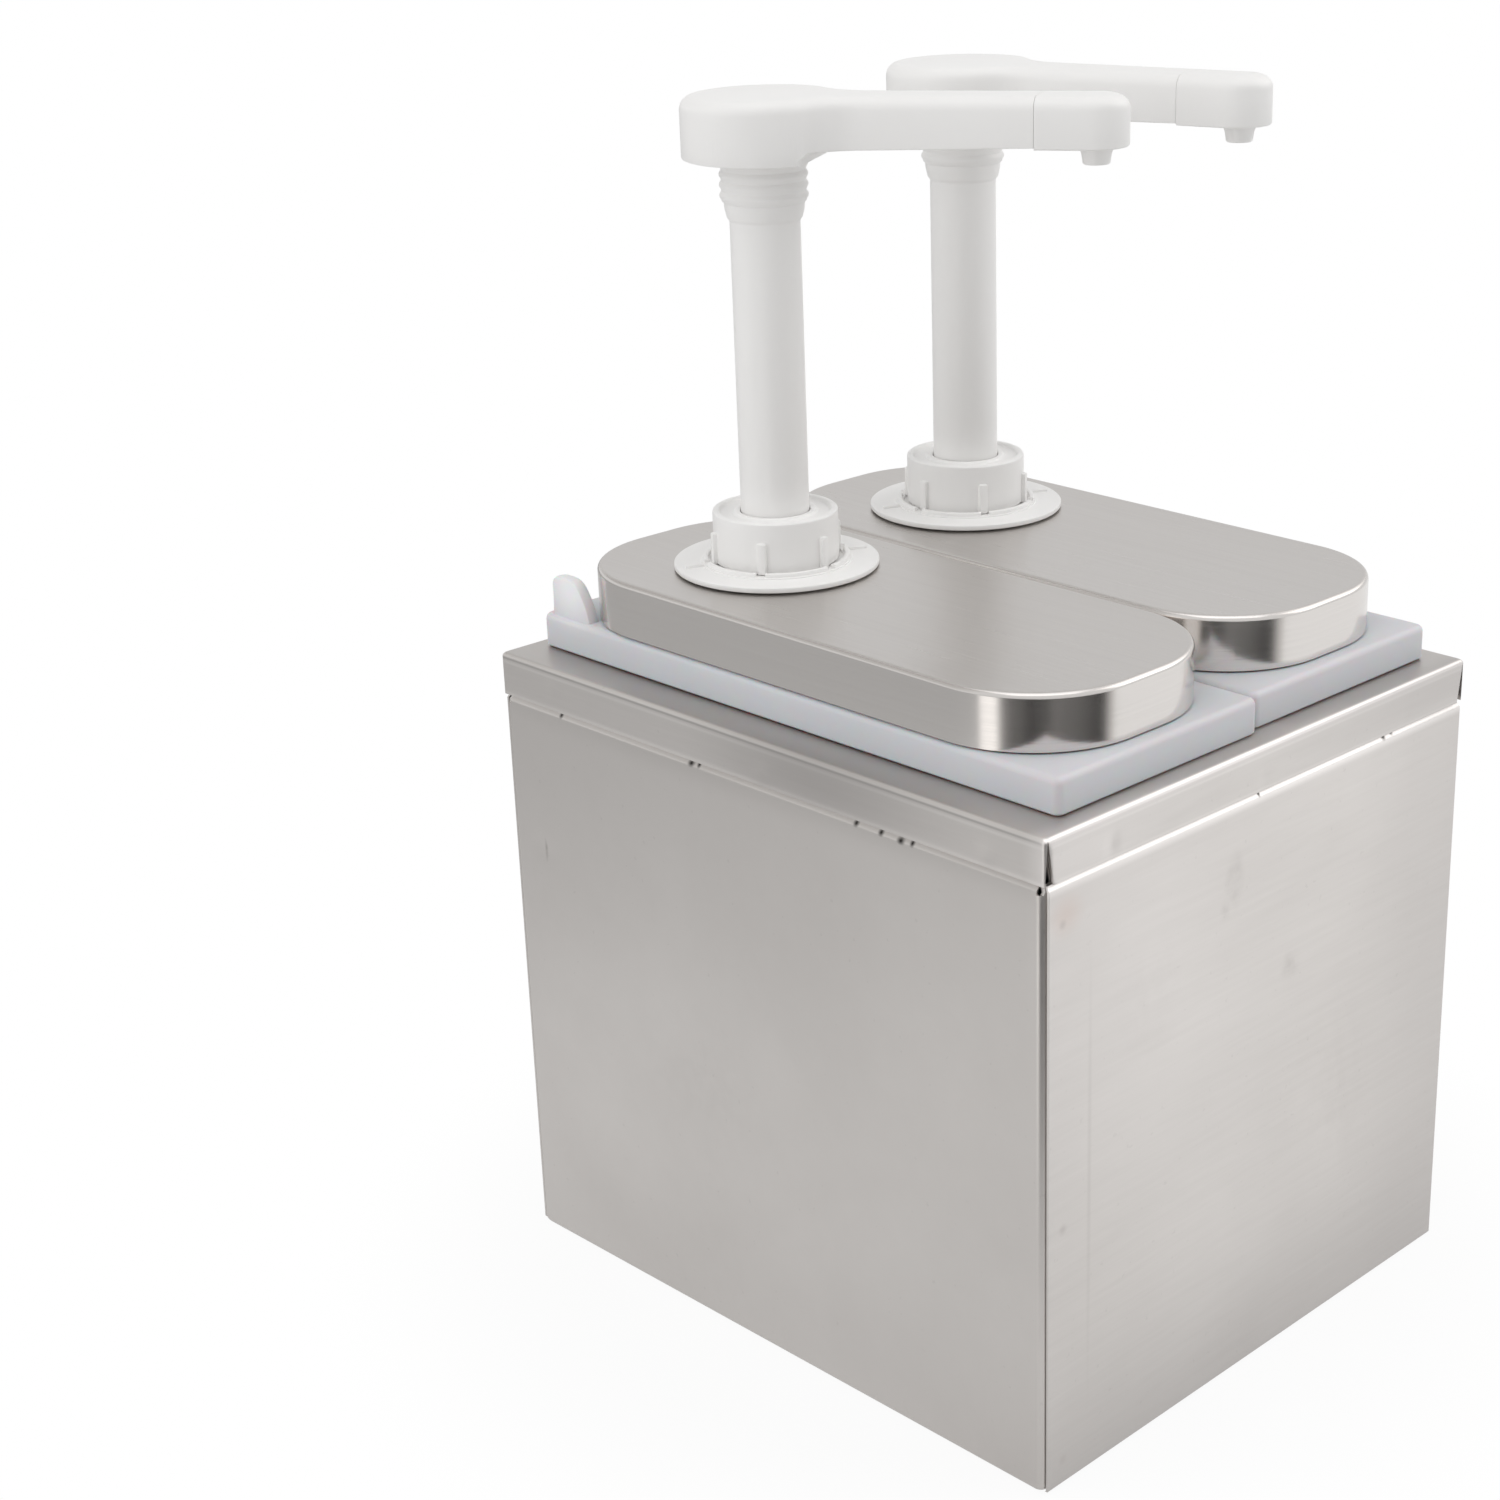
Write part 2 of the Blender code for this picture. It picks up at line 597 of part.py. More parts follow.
def make_collar(side, axis, plastic):
    bore = UPPER_NECK_RADIUS + RUNNING_GAP
    ceiling = COLLAR_TOP - COLLAR_CAP
    recess = COLLAR_RADIUS - COLLAR_RIM
    lip = STEM_RADIUS + RUNNING_GAP + COLLAR_RIM
    profile = [
        (bore, COLLAR_BOTTOM),
        (COLLAR_RADIUS, COLLAR_BOTTOM),
        (COLLAR_RADIUS, COLLAR_TOP - COLLAR_EDGE),
        (COLLAR_RADIUS - COLLAR_EDGE, COLLAR_TOP),
        (recess, COLLAR_TOP),
        (recess, COLLAR_TOP - COLLAR_RECESS),
        (lip, COLLAR_TOP - COLLAR_RECESS),
        (lip, COLLAR_TOP),
        (STEM_RADIUS + RUNNING_GAP, COLLAR_TOP),
        (STEM_RADIUS + RUNNING_GAP, ceiling),
        (bore, ceiling),
    ]
    collar = add_mesh(f"collar_{side}", lathe(profile), axis, plastic)
    low = FLANGE_TOP + HUB_HEIGHT + FIT_GAP
    inner = COLLAR_RADIUS - COLLAR_RIB_REACH
    outer = COLLAR_RADIUS + COLLAR_RIB_REACH
    half_facet = math.pi / FACETS
    top = low + COLLAR_RIB_HEIGHT
    ribs = blocks_round_axis(8, inner, outer, COLLAR_RIB_WIDTH, low, top, half_facet)
    boolean(collar, add_mesh(f"collar_ribs_{side}", ribs, axis), "UNION")


def make_cylinder(side, axis, plastic):
    lip_bottom = BARREL_TOP - BARREL_LIP
    profile = [
        (BARREL_BORE, BARREL_BOTTOM),
        (BARREL_RADIUS, BARREL_BOTTOM),
        (BARREL_RADIUS, lip_bottom),
        (UPPER_NECK_RADIUS, lip_bottom),
        (UPPER_NECK_RADIUS, BARREL_TOP),
        (BARREL_BORE, BARREL_TOP),
    ]
    add_mesh(f"cylinder_{side}", lathe(profile, FACETS), axis, plastic)


def make_foot_valve(side, axis, plastic):
    """A plug in the barrel's foot: a ball seat, the cage above it, and a spigot for the dip tube."""
    lip_top = BARREL_BOTTOM - FIT_GAP
    lip_bottom = lip_top - FOOT_LIP
    chamber_top = FOOT_SEAT + CHAMBER_HEIGHT
    plug = BARREL_BORE - FIT_GAP
    cage = CHAMBER_RADIUS + CAGE_WALL
    profile = [
        (SEAT_BORE, lip_bottom - FOOT_SPIGOT_LENGTH),
        (FOOT_SPIGOT_RADIUS, lip_bottom - FOOT_SPIGOT_LENGTH),
        (FOOT_SPIGOT_RADIUS, lip_bottom),
        (BARREL_RADIUS, lip_bottom),
        (BARREL_RADIUS, lip_top),
        (plug, lip_top),
        (plug, FOOT_SHOULDER),
        (cage, FOOT_SHOULDER),
        (cage, chamber_top + CAGE_LIP),
        (SEAT_BORE, chamber_top + CAGE_LIP),
        (SEAT_BORE, chamber_top),
        (CHAMBER_RADIUS, chamber_top),
        (CHAMBER_RADIUS, FOOT_SEAT),
        (SEAT_BORE, FOOT_SEAT),
    ]
    add_mesh(f"foot_valve_{side}", lathe(profile, INSIDE_FACETS), axis, plastic)
    bottom = TANK_FOOT + TANK_WALL + DIP_TUBE_FOOT_CLEARANCE
    top = lip_bottom - FIT_GAP
    outer = DIP_TUBE_BORE + DIP_TUBE_WALL
    tube = [(DIP_TUBE_BORE, top), (DIP_TUBE_BORE, bottom), (outer, bottom), (outer, top)]
    add_mesh(f"dip_tube_{side}", lathe(tube, INSIDE_FACETS), axis, plastic)


def make_ball(name, axis, seat, steel):
    bm = bmesh.new()
    bmesh.ops.create_icosphere(bm, subdivisions=2, radius=BALL_RADIUS)
    ball = add_mesh(name, bm, axis, steel)
    ball.location = (0, 0, seat + SEAT_TO_CENTRE)


def make_piston(side, axis, plastic, rubber):
    """The piston clips round the stem's tail, and holds the seal and the outlet ball's seat."""
    guide = BARREL_BORE - RUNNING_GAP
    groove = BARREL_BORE - SEAL_THICKNESS
    seal_top = PISTON_TOP - SEAL_DROP
    seal_bottom = seal_top - SEAL_HEIGHT
    sleeve = PISTON_TAIL_RADIUS + FIT_GAP
    tail_bottom = PISTON_TAIL_TOP - PISTON_TAIL_LENGTH
    profile = [
        (SEAT_BORE, PISTON_BOTTOM),
        (guide, PISTON_BOTTOM),
        (guide, seal_bottom - FIT_GAP),
        (groove, seal_bottom - FIT_GAP),
        (groove, seal_top + FIT_GAP),
        (guide, seal_top + FIT_GAP),
        (guide, PISTON_TOP),
        (sleeve, PISTON_TOP),
        (sleeve, tail_bottom),
        (CHAMBER_RADIUS, tail_bottom),
        (CHAMBER_RADIUS, PISTON_SEAT),
        (SEAT_BORE, PISTON_SEAT),
    ]
    add_mesh(f"piston_{side}", lathe(profile, FACETS), axis, plastic)
    inner = groove + FIT_GAP
    outer = BARREL_BORE - FIT_GAP
    seal = [(inner, seal_top), (inner, seal_bottom), (outer, seal_bottom), (outer, seal_top)]
    add_mesh(f"piston_seal_{side}", lathe(seal, FACETS), axis, rubber)


def make_return_spring(side, axis, steel):
    """A helix between the foot valve's shoulder and the piston."""
    radius = (CHAMBER_RADIUS + CAGE_WALL + BARREL_BORE) / 2
    start = FOOT_SHOULDER + FIT_GAP + SPRING_WIRE
    end = PISTON_BOTTOM - FIT_GAP - SPRING_WIRE
    steps = SPRING_TURNS * 8
    curve = bpy.data.curves.new(f"return_spring_{side}", "CURVE")
    curve.dimensions = "3D"
    curve.bevel_depth = SPRING_WIRE
    curve.bevel_resolution = 0
    curve.use_fill_caps = True
    spline = curve.splines.new("POLY")
    spline.points.add(steps)
    for index, point in enumerate(spline.points):
        angle = math.tau * SPRING_TURNS * index / steps
        height = start + (end - start) * index / steps
        point.co = (radius * math.cos(angle), radius * math.sin(angle), height, 1)
    curve.materials.append(steel)
    spring = bpy.data.objects.new(f"return_spring_{side}", curve)
    spring.parent = axis
    bpy.context.collection.objects.link(spring)
    free_gap = (end - start) / SPRING_TURNS - 2 * SPRING_WIRE
    pressed_gap = (end - start - STROKE) / SPRING_TURNS - 2 * SPRING_WIRE
    print(f"return_spring_{side}: least gap between turns {free_gap:.4f} m, pressed {pressed_gap:.4f} m")


def make_plunger_stem(side, axis, plastic):
    """A hollow stem: its tail in the piston, the ridged neck and the spigot for the head at its top."""
    tail_bottom = PISTON_TAIL_TOP - PISTON_TAIL_LENGTH + FIT_GAP
    ridge_top = HEAD_BOTTOM - RIDGE_TOP_DROP
    ridge_bottom = ridge_top - RIDGE_PITCH * RIDGE_COUNT
    step_bottom = ridge_bottom - NECK_STEP_HEIGHT
    root = RIDGE_RADIUS - RIDGE_DEPTH
    tail_bore = SEAT_BORE + FIT_GAP
    profile = [
        (tail_bore, tail_bottom),
        (PISTON_TAIL_RADIUS, tail_bottom),
        (PISTON_TAIL_RADIUS, PISTON_TAIL_TOP),
        (STEM_RADIUS, PISTON_TAIL_TOP),
        (STEM_RADIUS, step_bottom),
        (NECK_STEP_RADIUS, step_bottom + RIDGE_DEPTH),
        (NECK_STEP_RADIUS, ridge_bottom),
    ]
    for ridge in range(RIDGE_COUNT):
        foot = ridge_bottom + RIDGE_PITCH * ridge
        profile.append((root, foot))
        profile.append((RIDGE_RADIUS, foot + RIDGE_PITCH / 2))
    profile += [
        (root, ridge_top),
        (SPIGOT_RADIUS, ridge_top),
        (SPIGOT_RADIUS, HEAD_BOTTOM + SPIGOT_LENGTH),
        (STEM_BORE, HEAD_BOTTOM + SPIGOT_LENGTH),
        (STEM_BORE, PISTON_TAIL_TOP + STEM_RADIUS),
        (tail_bore, PISTON_TAIL_TOP + STEM_RADIUS),
    ]
    add_mesh(f"plunger_stem_{side}", lathe(profile), axis, plastic)


def head_outline():
    """Plan of the head and arm, with round waists where the arm leaves the drum. The arm points to -Y."""
    drum = HEAD_RADIUS - HEAD_STEP
    half = SPOUT_WIDTH / 2
    waist_x = half + SPOUT_WAIST
    waist_y = -math.sqrt((drum + SPOUT_WAIST) ** 2 - waist_x**2)
    meet = math.atan2(waist_y, waist_x)
    points = [(half, -SEAM_REACH)]
    turn = math.pi + meet
    for step in range(CORNER_STEPS + 1):
        angle = math.pi + (turn - math.pi) * step / CORNER_STEPS
        points.append((waist_x + SPOUT_WAIST * math.cos(angle), waist_y + SPOUT_WAIST * math.sin(angle)))
    sweep = math.pi - 2 * meet
    for step in range(1, FACETS - CORNER_STEPS):
        angle = meet + sweep * step / (FACETS - CORNER_STEPS)
        points.append((drum * math.cos(angle), drum * math.sin(angle)))
    points += [(-x, y) for x, y in reversed(points[: CORNER_STEPS + 2])]
    return points


def bore_along_spout(radius, start, end, height):
    """A round bar along the spout, between two reaches from the head's axis."""
    bm = bmesh.new()
    length = end - start
    middle = Vector((0, -(start + end) / 2, height))
    place = Matrix.Translation(middle) @ Matrix.Rotation(math.pi / 2, 4, "X")
    bmesh.ops.create_cone(
        bm,
        cap_ends=True,
        segments=INSIDE_FACETS,
        radius1=radius,
        radius2=radius,
        depth=length,
        matrix=place,
    )
    raise_along_spout(bm)
    return bm


def make_pump_head(side, axis, plastic):
    arm_bottom = HEAD_TOP - SPOUT_DEPTH
    channel = HEAD_TOP - CHANNEL_DROP
    arm = prism(head_outline(), arm_bottom, HEAD_TOP)
    bevel_top(arm, HEAD_TOP, HEAD_EDGE, lambda middle: middle.y < FIT_GAP - SEAM_REACH)
    for vert in arm.verts:
        if vert.co.z < arm_bottom + FIT_GAP:
            vert.co.z -= SPOUT_ROOT_DROP * min(1, 1 + vert.co.y / SEAM_REACH)
    raise_along_spout(arm)
    head = add_mesh(f"pump_head_{side}", arm, axis, plastic)
    inner = HEAD_RADIUS - HEAD_EDGE
    drum = [(0, HEAD_BOTTOM), (HEAD_RADIUS, HEAD_BOTTOM), (HEAD_RADIUS, HEAD_TOP - SPOUT_DEPTH / 2)]
    drum += [(inner, HEAD_TOP - HEAD_EDGE), (0, HEAD_TOP - HEAD_EDGE)]
    boolean(head, add_mesh(f"head_drum_{side}", lathe(drum, closed=False), axis), "UNION")
    spigot = bore_along_spout(NOSE_SPIGOT_RADIUS, SEAM_REACH - OVERRUN, SEAM_REACH + NOSE_SPIGOT_LENGTH, channel)
    boolean(head, add_mesh(f"arm_spigot_{side}", spigot, axis), "UNION")
    socket_radius = SPIGOT_RADIUS + SOCKET_GAP
    socket_top = HEAD_BOTTOM + SOCKET_DEPTH
    socket = [(0, HEAD_BOTTOM - OVERRUN), (socket_radius, HEAD_BOTTOM - OVERRUN), (socket_radius, socket_top)]
    socket.append((0, socket_top))
    boolean(head, add_mesh(f"head_socket_{side}", lathe(socket, closed=False), axis), "DIFFERENCE")
    far_end = SEAM_REACH + NOSE_SPIGOT_LENGTH + OVERRUN
    bore = bore_along_spout(CHANNEL_RADIUS, SPIGOT_RADIUS / 2, far_end, channel)
    boolean(head, add_mesh(f"arm_channel_{side}", bore, axis), "DIFFERENCE")


def nose_outline():
    half = SPOUT_WIDTH / 2
    start = SEAM_REACH + FIT_GAP
    points = [(half, -start)]
    points.append((-half, -start))
    steps = INSIDE_FACETS // 2
    for step in range(steps + 1):
        angle = math.pi + math.pi * step / steps
        points.append((half * math.cos(angle), -SPOUT_REACH + half * math.sin(angle)))
    return points


def make_spout_nose(side, axis, plastic):
    bottom = HEAD_TOP - SPOUT_DEPTH - NOSE_DROP
    channel = HEAD_TOP - CHANNEL_DROP
    start = SEAM_REACH + FIT_GAP
    body = prism(nose_outline(), bottom, HEAD_TOP)
    bevel_top(body, HEAD_TOP, HEAD_EDGE, lambda middle: middle.y > -start - FIT_GAP)
    raise_along_spout(body)
    nose = add_mesh(f"spout_nose_{side}", body, axis, plastic)
    nozzle = [
        (0, bottom - NOZZLE_LENGTH),
        (NOZZLE_TIP_RADIUS, bottom - NOZZLE_LENGTH),
        (NOZZLE_RADIUS, bottom - NOZZLE_LENGTH / 3),
        (NOZZLE_RADIUS, bottom + OVERRUN),
        (0, bottom + OVERRUN),
    ]
    drop = (0, -SPOUT_REACH, 0)
    tip = lathe(nozzle, INSIDE_FACETS, closed=False)
    bmesh.ops.translate(tip, verts=tip.verts, vec=drop)
    raise_along_spout(tip)
    boolean(nose, add_mesh(f"nozzle_{side}", tip, axis), "UNION")
    socket = bore_along_spout(
        NOSE_SPIGOT_RADIUS + FIT_GAP,
        SEAM_REACH - OVERRUN,
        SEAM_REACH + NOSE_SPIGOT_LENGTH + FIT_GAP,
        channel,
    )
    boolean(nose, add_mesh(f"nose_socket_{side}", socket, axis), "DIFFERENCE")
    along = bore_along_spout(CHANNEL_RADIUS, SEAM_REACH, SPOUT_REACH + NOZZLE_BORE, channel)
    boolean(nose, add_mesh(f"nose_channel_{side}", along, axis), "DIFFERENCE")
    outlet = [(0, bottom - NOZZLE_LENGTH - OVERRUN), (NOZZLE_BORE, bottom - NOZZLE_LENGTH - OVERRUN)]
    outlet += [(NOZZLE_BORE, channel), (0, channel)]
    down = lathe(outlet, INSIDE_FACETS, closed=False)
    bmesh.ops.translate(down, verts=down.verts, vec=drop)
    raise_along_spout(down)
    boolean(nose, add_mesh(f"nozzle_outlet_{side}", down, axis), "DIFFERENCE")


def make_unit(side, sign, turn, centre, palette):
    unit = add_empty(f"unit_{side}", centre)
    axis = add_empty(f"pump_axis_{side}", (PUMP_SHIFT_X, PUMP_SHIFT_Y, 0), parent=unit)
    swivel = add_empty(f"spout_swivel_{side}", (0, 0, 0), turn, axis)
    make_tank(side, sign, unit, palette["tank"])
    make_cover(side, unit, palette["steel"])
    make_mounting_flange(side, axis, palette["pump"])
    make_clamp_ring(side, axis, palette["pump"], palette["rubber"])
    make_collar(side, axis, palette["pump"])
    make_cylinder(side, axis, palette["inner"])
    make_foot_valve(side, axis, palette["inner"])
    make_ball(f"inlet_ball_{side}", axis, FOOT_SEAT, palette["bright"])
    make_piston(side, axis, palette["inner"], palette["rubber"])
    make_ball(f"outlet_ball_{side}", axis, PISTON_SEAT, palette["bright"])
    make_return_spring(side, axis, palette["bright"])
    make_plunger_stem(side, swivel, palette["pump"])
    make_pump_head(side, swivel, palette["pump"])
    make_spout_nose(side, swivel, palette["pump"])


def main():
    clear_scene()
    palette = {
        "steel": make_material("brushed_steel", (0.52, 0.50, 0.48), 0.32, 1.0),
        "bright": make_material("bright_steel", (0.70, 0.70, 0.70), 0.15, 1.0),
        "tank": make_material("tank_plastic", (0.78, 0.80, 0.84), 0.42),
        "pump": make_material("pump_plastic", (0.85, 0.84, 0.83), 0.28),
        "inner": make_material("inner_plastic", (0.80, 0.80, 0.78), 0.40),
        "rubber": make_material("seal_rubber", (0.62, 0.62, 0.60), 0.70),
    }
    make_case_wrap(palette["steel"])
    make_panel("front_panel", -1, palette["steel"])
    make_panel("rear_panel", 1, palette["steel"])
    make_top_frame(palette["steel"])
    for side, sign, turn, centre in unit_centres():
        make_unit(side, sign, turn, centre, palette)


main()
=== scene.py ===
"""Looks of the two-pump condiment dispenser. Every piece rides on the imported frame, in metres, +Z up."""

from math import atan2, copysign, cos, pi, radians, sin, sqrt, tau

import bmesh
import bpy
from mathutils import Matrix, Vector


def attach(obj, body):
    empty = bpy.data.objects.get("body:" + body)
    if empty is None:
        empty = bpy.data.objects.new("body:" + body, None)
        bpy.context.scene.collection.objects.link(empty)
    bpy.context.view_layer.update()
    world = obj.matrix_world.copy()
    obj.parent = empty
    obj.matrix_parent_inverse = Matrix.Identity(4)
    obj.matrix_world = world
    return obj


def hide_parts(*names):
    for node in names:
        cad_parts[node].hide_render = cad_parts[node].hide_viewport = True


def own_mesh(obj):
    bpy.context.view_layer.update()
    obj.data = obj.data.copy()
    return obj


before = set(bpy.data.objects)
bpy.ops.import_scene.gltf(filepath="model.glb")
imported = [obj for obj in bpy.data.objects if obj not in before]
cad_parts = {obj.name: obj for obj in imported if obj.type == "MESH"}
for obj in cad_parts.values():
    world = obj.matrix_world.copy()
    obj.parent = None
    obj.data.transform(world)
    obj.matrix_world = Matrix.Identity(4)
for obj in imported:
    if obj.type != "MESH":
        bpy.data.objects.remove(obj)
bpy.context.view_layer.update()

# Fits and sheet, as in the CAD model
GAP = 0.0003
RUNNING_GAP = 0.0004
SHEET = 0.0008
OVERRUN = 0.004

# Box
CASE_WIDTH = 0.205
CASE_DEPTH = 0.240
CASE_HEIGHT = 0.214
CASE_BEND = 0.0026
CASE_FLANGE = 0.017
BAND_HEIGHT = 0.0143
BAND_BEND = 0.0014
SHOULDER = 0.0022
PANEL_MARGIN = 0.0014
PANEL_FOOT = 0.0010

# Tanks
UNIT_X = {"left": -0.0431, "right": 0.0489}
UNIT_Y = {"left": 0.0011, "right": 0.0035}
SIGN = {"left": -1, "right": 1}
RIM = (0.0910, 0.2268, 0.0030)
RIM_BOTTOM = CASE_HEIGHT + GAP
RIM_TOP = RIM_BOTTOM + 0.0114
TANK = (0.0703, 0.1978, 0.0302)
TANK_WALL = 0.003
TANK_FOOT = 0.020
FRAME_CLEARANCE = 0.0015
TAB_HEIGHT = 0.0133
TAB_BASE = 0.0184
TAB_REAR = 0.0041
TAB_THICKNESS = 0.0045

# Covers
COVER = (0.0906, 0.2158, 0.0375)
COVER_BOTTOM = RIM_TOP + GAP
COVER_TOP = COVER_BOTTOM + 0.0180
COVER_EDGE = 0.0018
COVER_SHEET = 0.0010

# Pumps
PUMP_OFFSET = (0.0021, 0.0503)
YAW = {"left": radians(30), "right": radians(9)}
COLLAR_TURN = {"left": radians(-145.9), "right": radians(-120.2)}
SPOKE_TURN = radians(154)
SETTLE = {"left": 0.0015, "right": 0.0}
BARREL_BORE = 0.0124
BARREL_RADIUS = 0.0140
NECK_BORE = 0.0143
LOWER_NECK = 0.0162
UPPER_NECK = 0.0172
FLANGE_BOTTOM = COVER_TOP + GAP
FLANGE_TOP = FLANGE_BOTTOM + 0.0018
FLANGE_RADIUS = 0.0332
NECK_TOP = FLANGE_TOP + 0.0109
BARREL_TOP = NECK_TOP + GAP + 0.0020
BARREL_BOTTOM = NECK_TOP + GAP - 0.1453
COLLAR_BOTTOM = FLANGE_TOP + GAP
COLLAR_TOP = COLLAR_BOTTOM + 0.0166
COLLAR_RADIUS = 0.0202
STEM_RADIUS = 0.0110
STEM_BORE = 0.0075
HEAD_BOTTOM = COLLAR_TOP + 0.1130
HEAD_TOP = HEAD_BOTTOM + 0.0194
HEAD_RADIUS = 0.0250
PISTON_TOP = BARREL_TOP - 0.0136
SEAT_BORE = 0.0035
BALL_RADIUS = 0.0050
SEAT_TO_CENTRE = sqrt(BALL_RADIUS**2 - SEAT_BORE**2) + GAP
CHAMBER_RADIUS = 0.0060
CHAMBER_HEIGHT = SEAT_TO_CENTRE + BALL_RADIUS + 0.0030 + GAP
TAIL_TOP = PISTON_TOP + GAP
TAIL_LENGTH = 0.0075
TAIL_RADIUS = 0.0070
PISTON_SEAT = TAIL_TOP - TAIL_LENGTH - CHAMBER_HEIGHT
PISTON_BOTTOM = PISTON_SEAT - 0.0040
FOOT_SEAT = BARREL_BOTTOM + GAP + 0.0020
FOOT_SHOULDER = BARREL_BOTTOM + 0.0044
SPOUT_HALF = 0.0100
SPOUT_DEPTH = 0.0150
SPOUT_WAIST = 0.0200
SPOUT_REACH = 0.1043
SPOUT_RISE = 0.0210
SPOUT_ROOT_DROP = 0.0015
SEAM = 0.0870
NOZZLE = 0.0051
CHANNEL_Z = HEAD_TOP - 0.0075
CHANNEL_RADIUS = 0.0033
PLUG_RADIUS = 0.0050

# Facets
ROUND = 96
SMALL_ROUND = 40
CORNER = 10
FINE_GRID = 0.004
WELD = 2e-6
TINY = 1e-6
SHARP = 50


# Mesh helpers


def weld(bm):
    bmesh.ops.remove_doubles(bm, verts=bm.verts, dist=WELD)
    bmesh.ops.recalc_face_normals(bm, faces=bm.faces)
    return bm


def rounded_rectangle(width, length, corner, steps=CORNER, runs=(1, 1)):
    """Plan points with round corners, turning left. runs says how many parts each straight run has."""
    points = []
    for index, (side_x, side_y) in enumerate(((1, 1), (-1, 1), (-1, -1), (1, -1))):
        centre = Vector((side_x * (width / 2 - corner), side_y * (length / 2 - corner)))
        for step in range(steps + 1):
            angle = pi / 2 * (index + step / steps)
            points.append(centre + corner * Vector((cos(angle), sin(angle))))
        level = side_y == side_x
        run = (width if level else length) - 2 * corner
        parts = runs[0] if level else runs[1]
        turn = pi / 2 * (index + 1)
        heading = Vector((-sin(turn), cos(turn)))
        last = points[-1]
        points += [last + heading * run * part / parts for part in range(1, parts)]
    return points


def bridge(rings):
    """A closed skin through rings of 3-D points, with a flat face at each end."""
    bm = bmesh.new()
    loops = [[bm.verts.new(point) for point in ring] for ring in rings]
    count = len(loops[0])
    for lower, upper in zip(loops, loops[1:]):
        for index in range(count):
            after = (index + 1) % count
            bm.faces.new((lower[index], lower[after], upper[after], upper[index]))
    bm.faces.new(loops[0])
    bm.faces.new(loops[-1])
    return weld(bm)


def inset_size(size, inset):
    """(width, length, corner) drawn in by an inset all round."""
    return size[0] - 2 * inset, size[1] - 2 * inset, size[2] - inset


def stack(levels, steps=CORNER, grid=None):
    """Rings given as (width, length, corner, height). grid also divides the straight sides about that finely."""
    runs = (1, 1)
    if grid:
        runs = (round(max(level[0] for level in levels) / grid), round(max(level[1] for level in levels) / grid))
    rings = []
    for width, length, corner, height in levels:
        rings.append([(p.x, p.y, height) for p in rounded_rectangle(width, length, corner, steps, runs)])
    return bridge(rings)


def soften(profile, radius):
    """Rounds the corners of a closed profile of (radius, height) points."""
    result = []
    points = [Vector(point) for point in profile]
    for index, point in enumerate(points):
        before = points[index - 1] - point
        after = points[(index + 1) % len(points)] - point
        if point.x < TINY or before.length < TINY or after.length < TINY:
            result.append(tuple(point))
            continue
        reach = min(radius, before.length * 0.45, after.length * 0.45)
        start = point + before.normalized() * reach
        end = point + after.normalized() * reach
        for share in (0, 1 / 3, 2 / 3, 1):
            result.append(tuple(start.lerp(point, share).lerp(point.lerp(end, share), share)))
    return result


def lathe(profile, facets=ROUND, closed=True, centre=(0, 0)):
    """Turns (radius, height) points about a vertical axis. An open profile starts and ends on it."""
    bm = bmesh.new()
    verts = [bm.verts.new((radius, 0, height)) for radius, height in profile]
    pairs = list(zip(verts, verts[1:]))
    if closed:
        pairs.append((verts[-1], verts[0]))
    edges = [bm.edges.new(pair) for pair in pairs]
    bmesh.ops.spin(bm, geom=verts + edges, axis=(0, 0, 1), angle=tau, steps=facets, use_merge=True)
    bmesh.ops.translate(bm, verts=bm.verts, vec=(*centre, 0))
    return weld(bm)


def block(low, high, matrix=None, bevel=0.0):
    bm = bmesh.new()
    size = Vector(high) - Vector(low)
    middle = (Vector(high) + Vector(low)) / 2
    place = Matrix.Translation(middle) @ Matrix.Diagonal((*size, 1))
    bmesh.ops.create_cube(bm, size=1, matrix=place)
    if bevel:
        bmesh.ops.bevel(bm, geom=bm.edges[:], offset=bevel, segments=2, profile=0.5, affect="EDGES")
    if matrix:
        bmesh.ops.transform(bm, matrix=matrix, verts=bm.verts)
    return bm


def merged(parts):
    """Several meshes as one."""
    whole = bmesh.new()
    for part in parts:
        mesh = bpy.data.meshes.new("part")
        part.to_mesh(mesh)
        part.free()
        whole.from_mesh(mesh)
        bpy.data.meshes.remove(mesh)
    return whole


def round_axis(count, inner, outer, width, bottom, top, start=0.0, bevel=0.0003):
    """Small blocks spaced evenly round the Z axis."""
    parts = []
    for index in range(count):
        turn = Matrix.Rotation(start + tau * index / count, 4, "Z")
        parts.append(block((inner, -width / 2, bottom), (outer, width / 2, top), turn, bevel))
    return merged(parts)


def arc_ridge(inner, outer, start, end, bottom, top):
    """A curved bar with a rounded top, part of a ring about the Z axis."""
    steps = 16
    edge = (outer - inner) * 0.3
    section = [(inner, bottom), (inner, top - edge), (inner + edge * 0.3, top - edge * 0.3), (inner + edge, top)]
    section += [(outer - edge, top), (outer - edge * 0.3, top - edge * 0.3), (outer, top - edge), (outer, bottom)]
    rings = []
    for step in range(steps + 1):
        angle = start + (end - start) * step / steps
        rings.append([(r * cos(angle), r * sin(angle), z) for r, z in section])
    return bridge(rings)


def as_object(name, bm):
    mesh = bpy.data.meshes.new(name)
    bm.to_mesh(mesh)
    bm.free()
    obj = bpy.data.objects.new(name, mesh)
    bpy.context.scene.collection.objects.link(obj)
    return obj


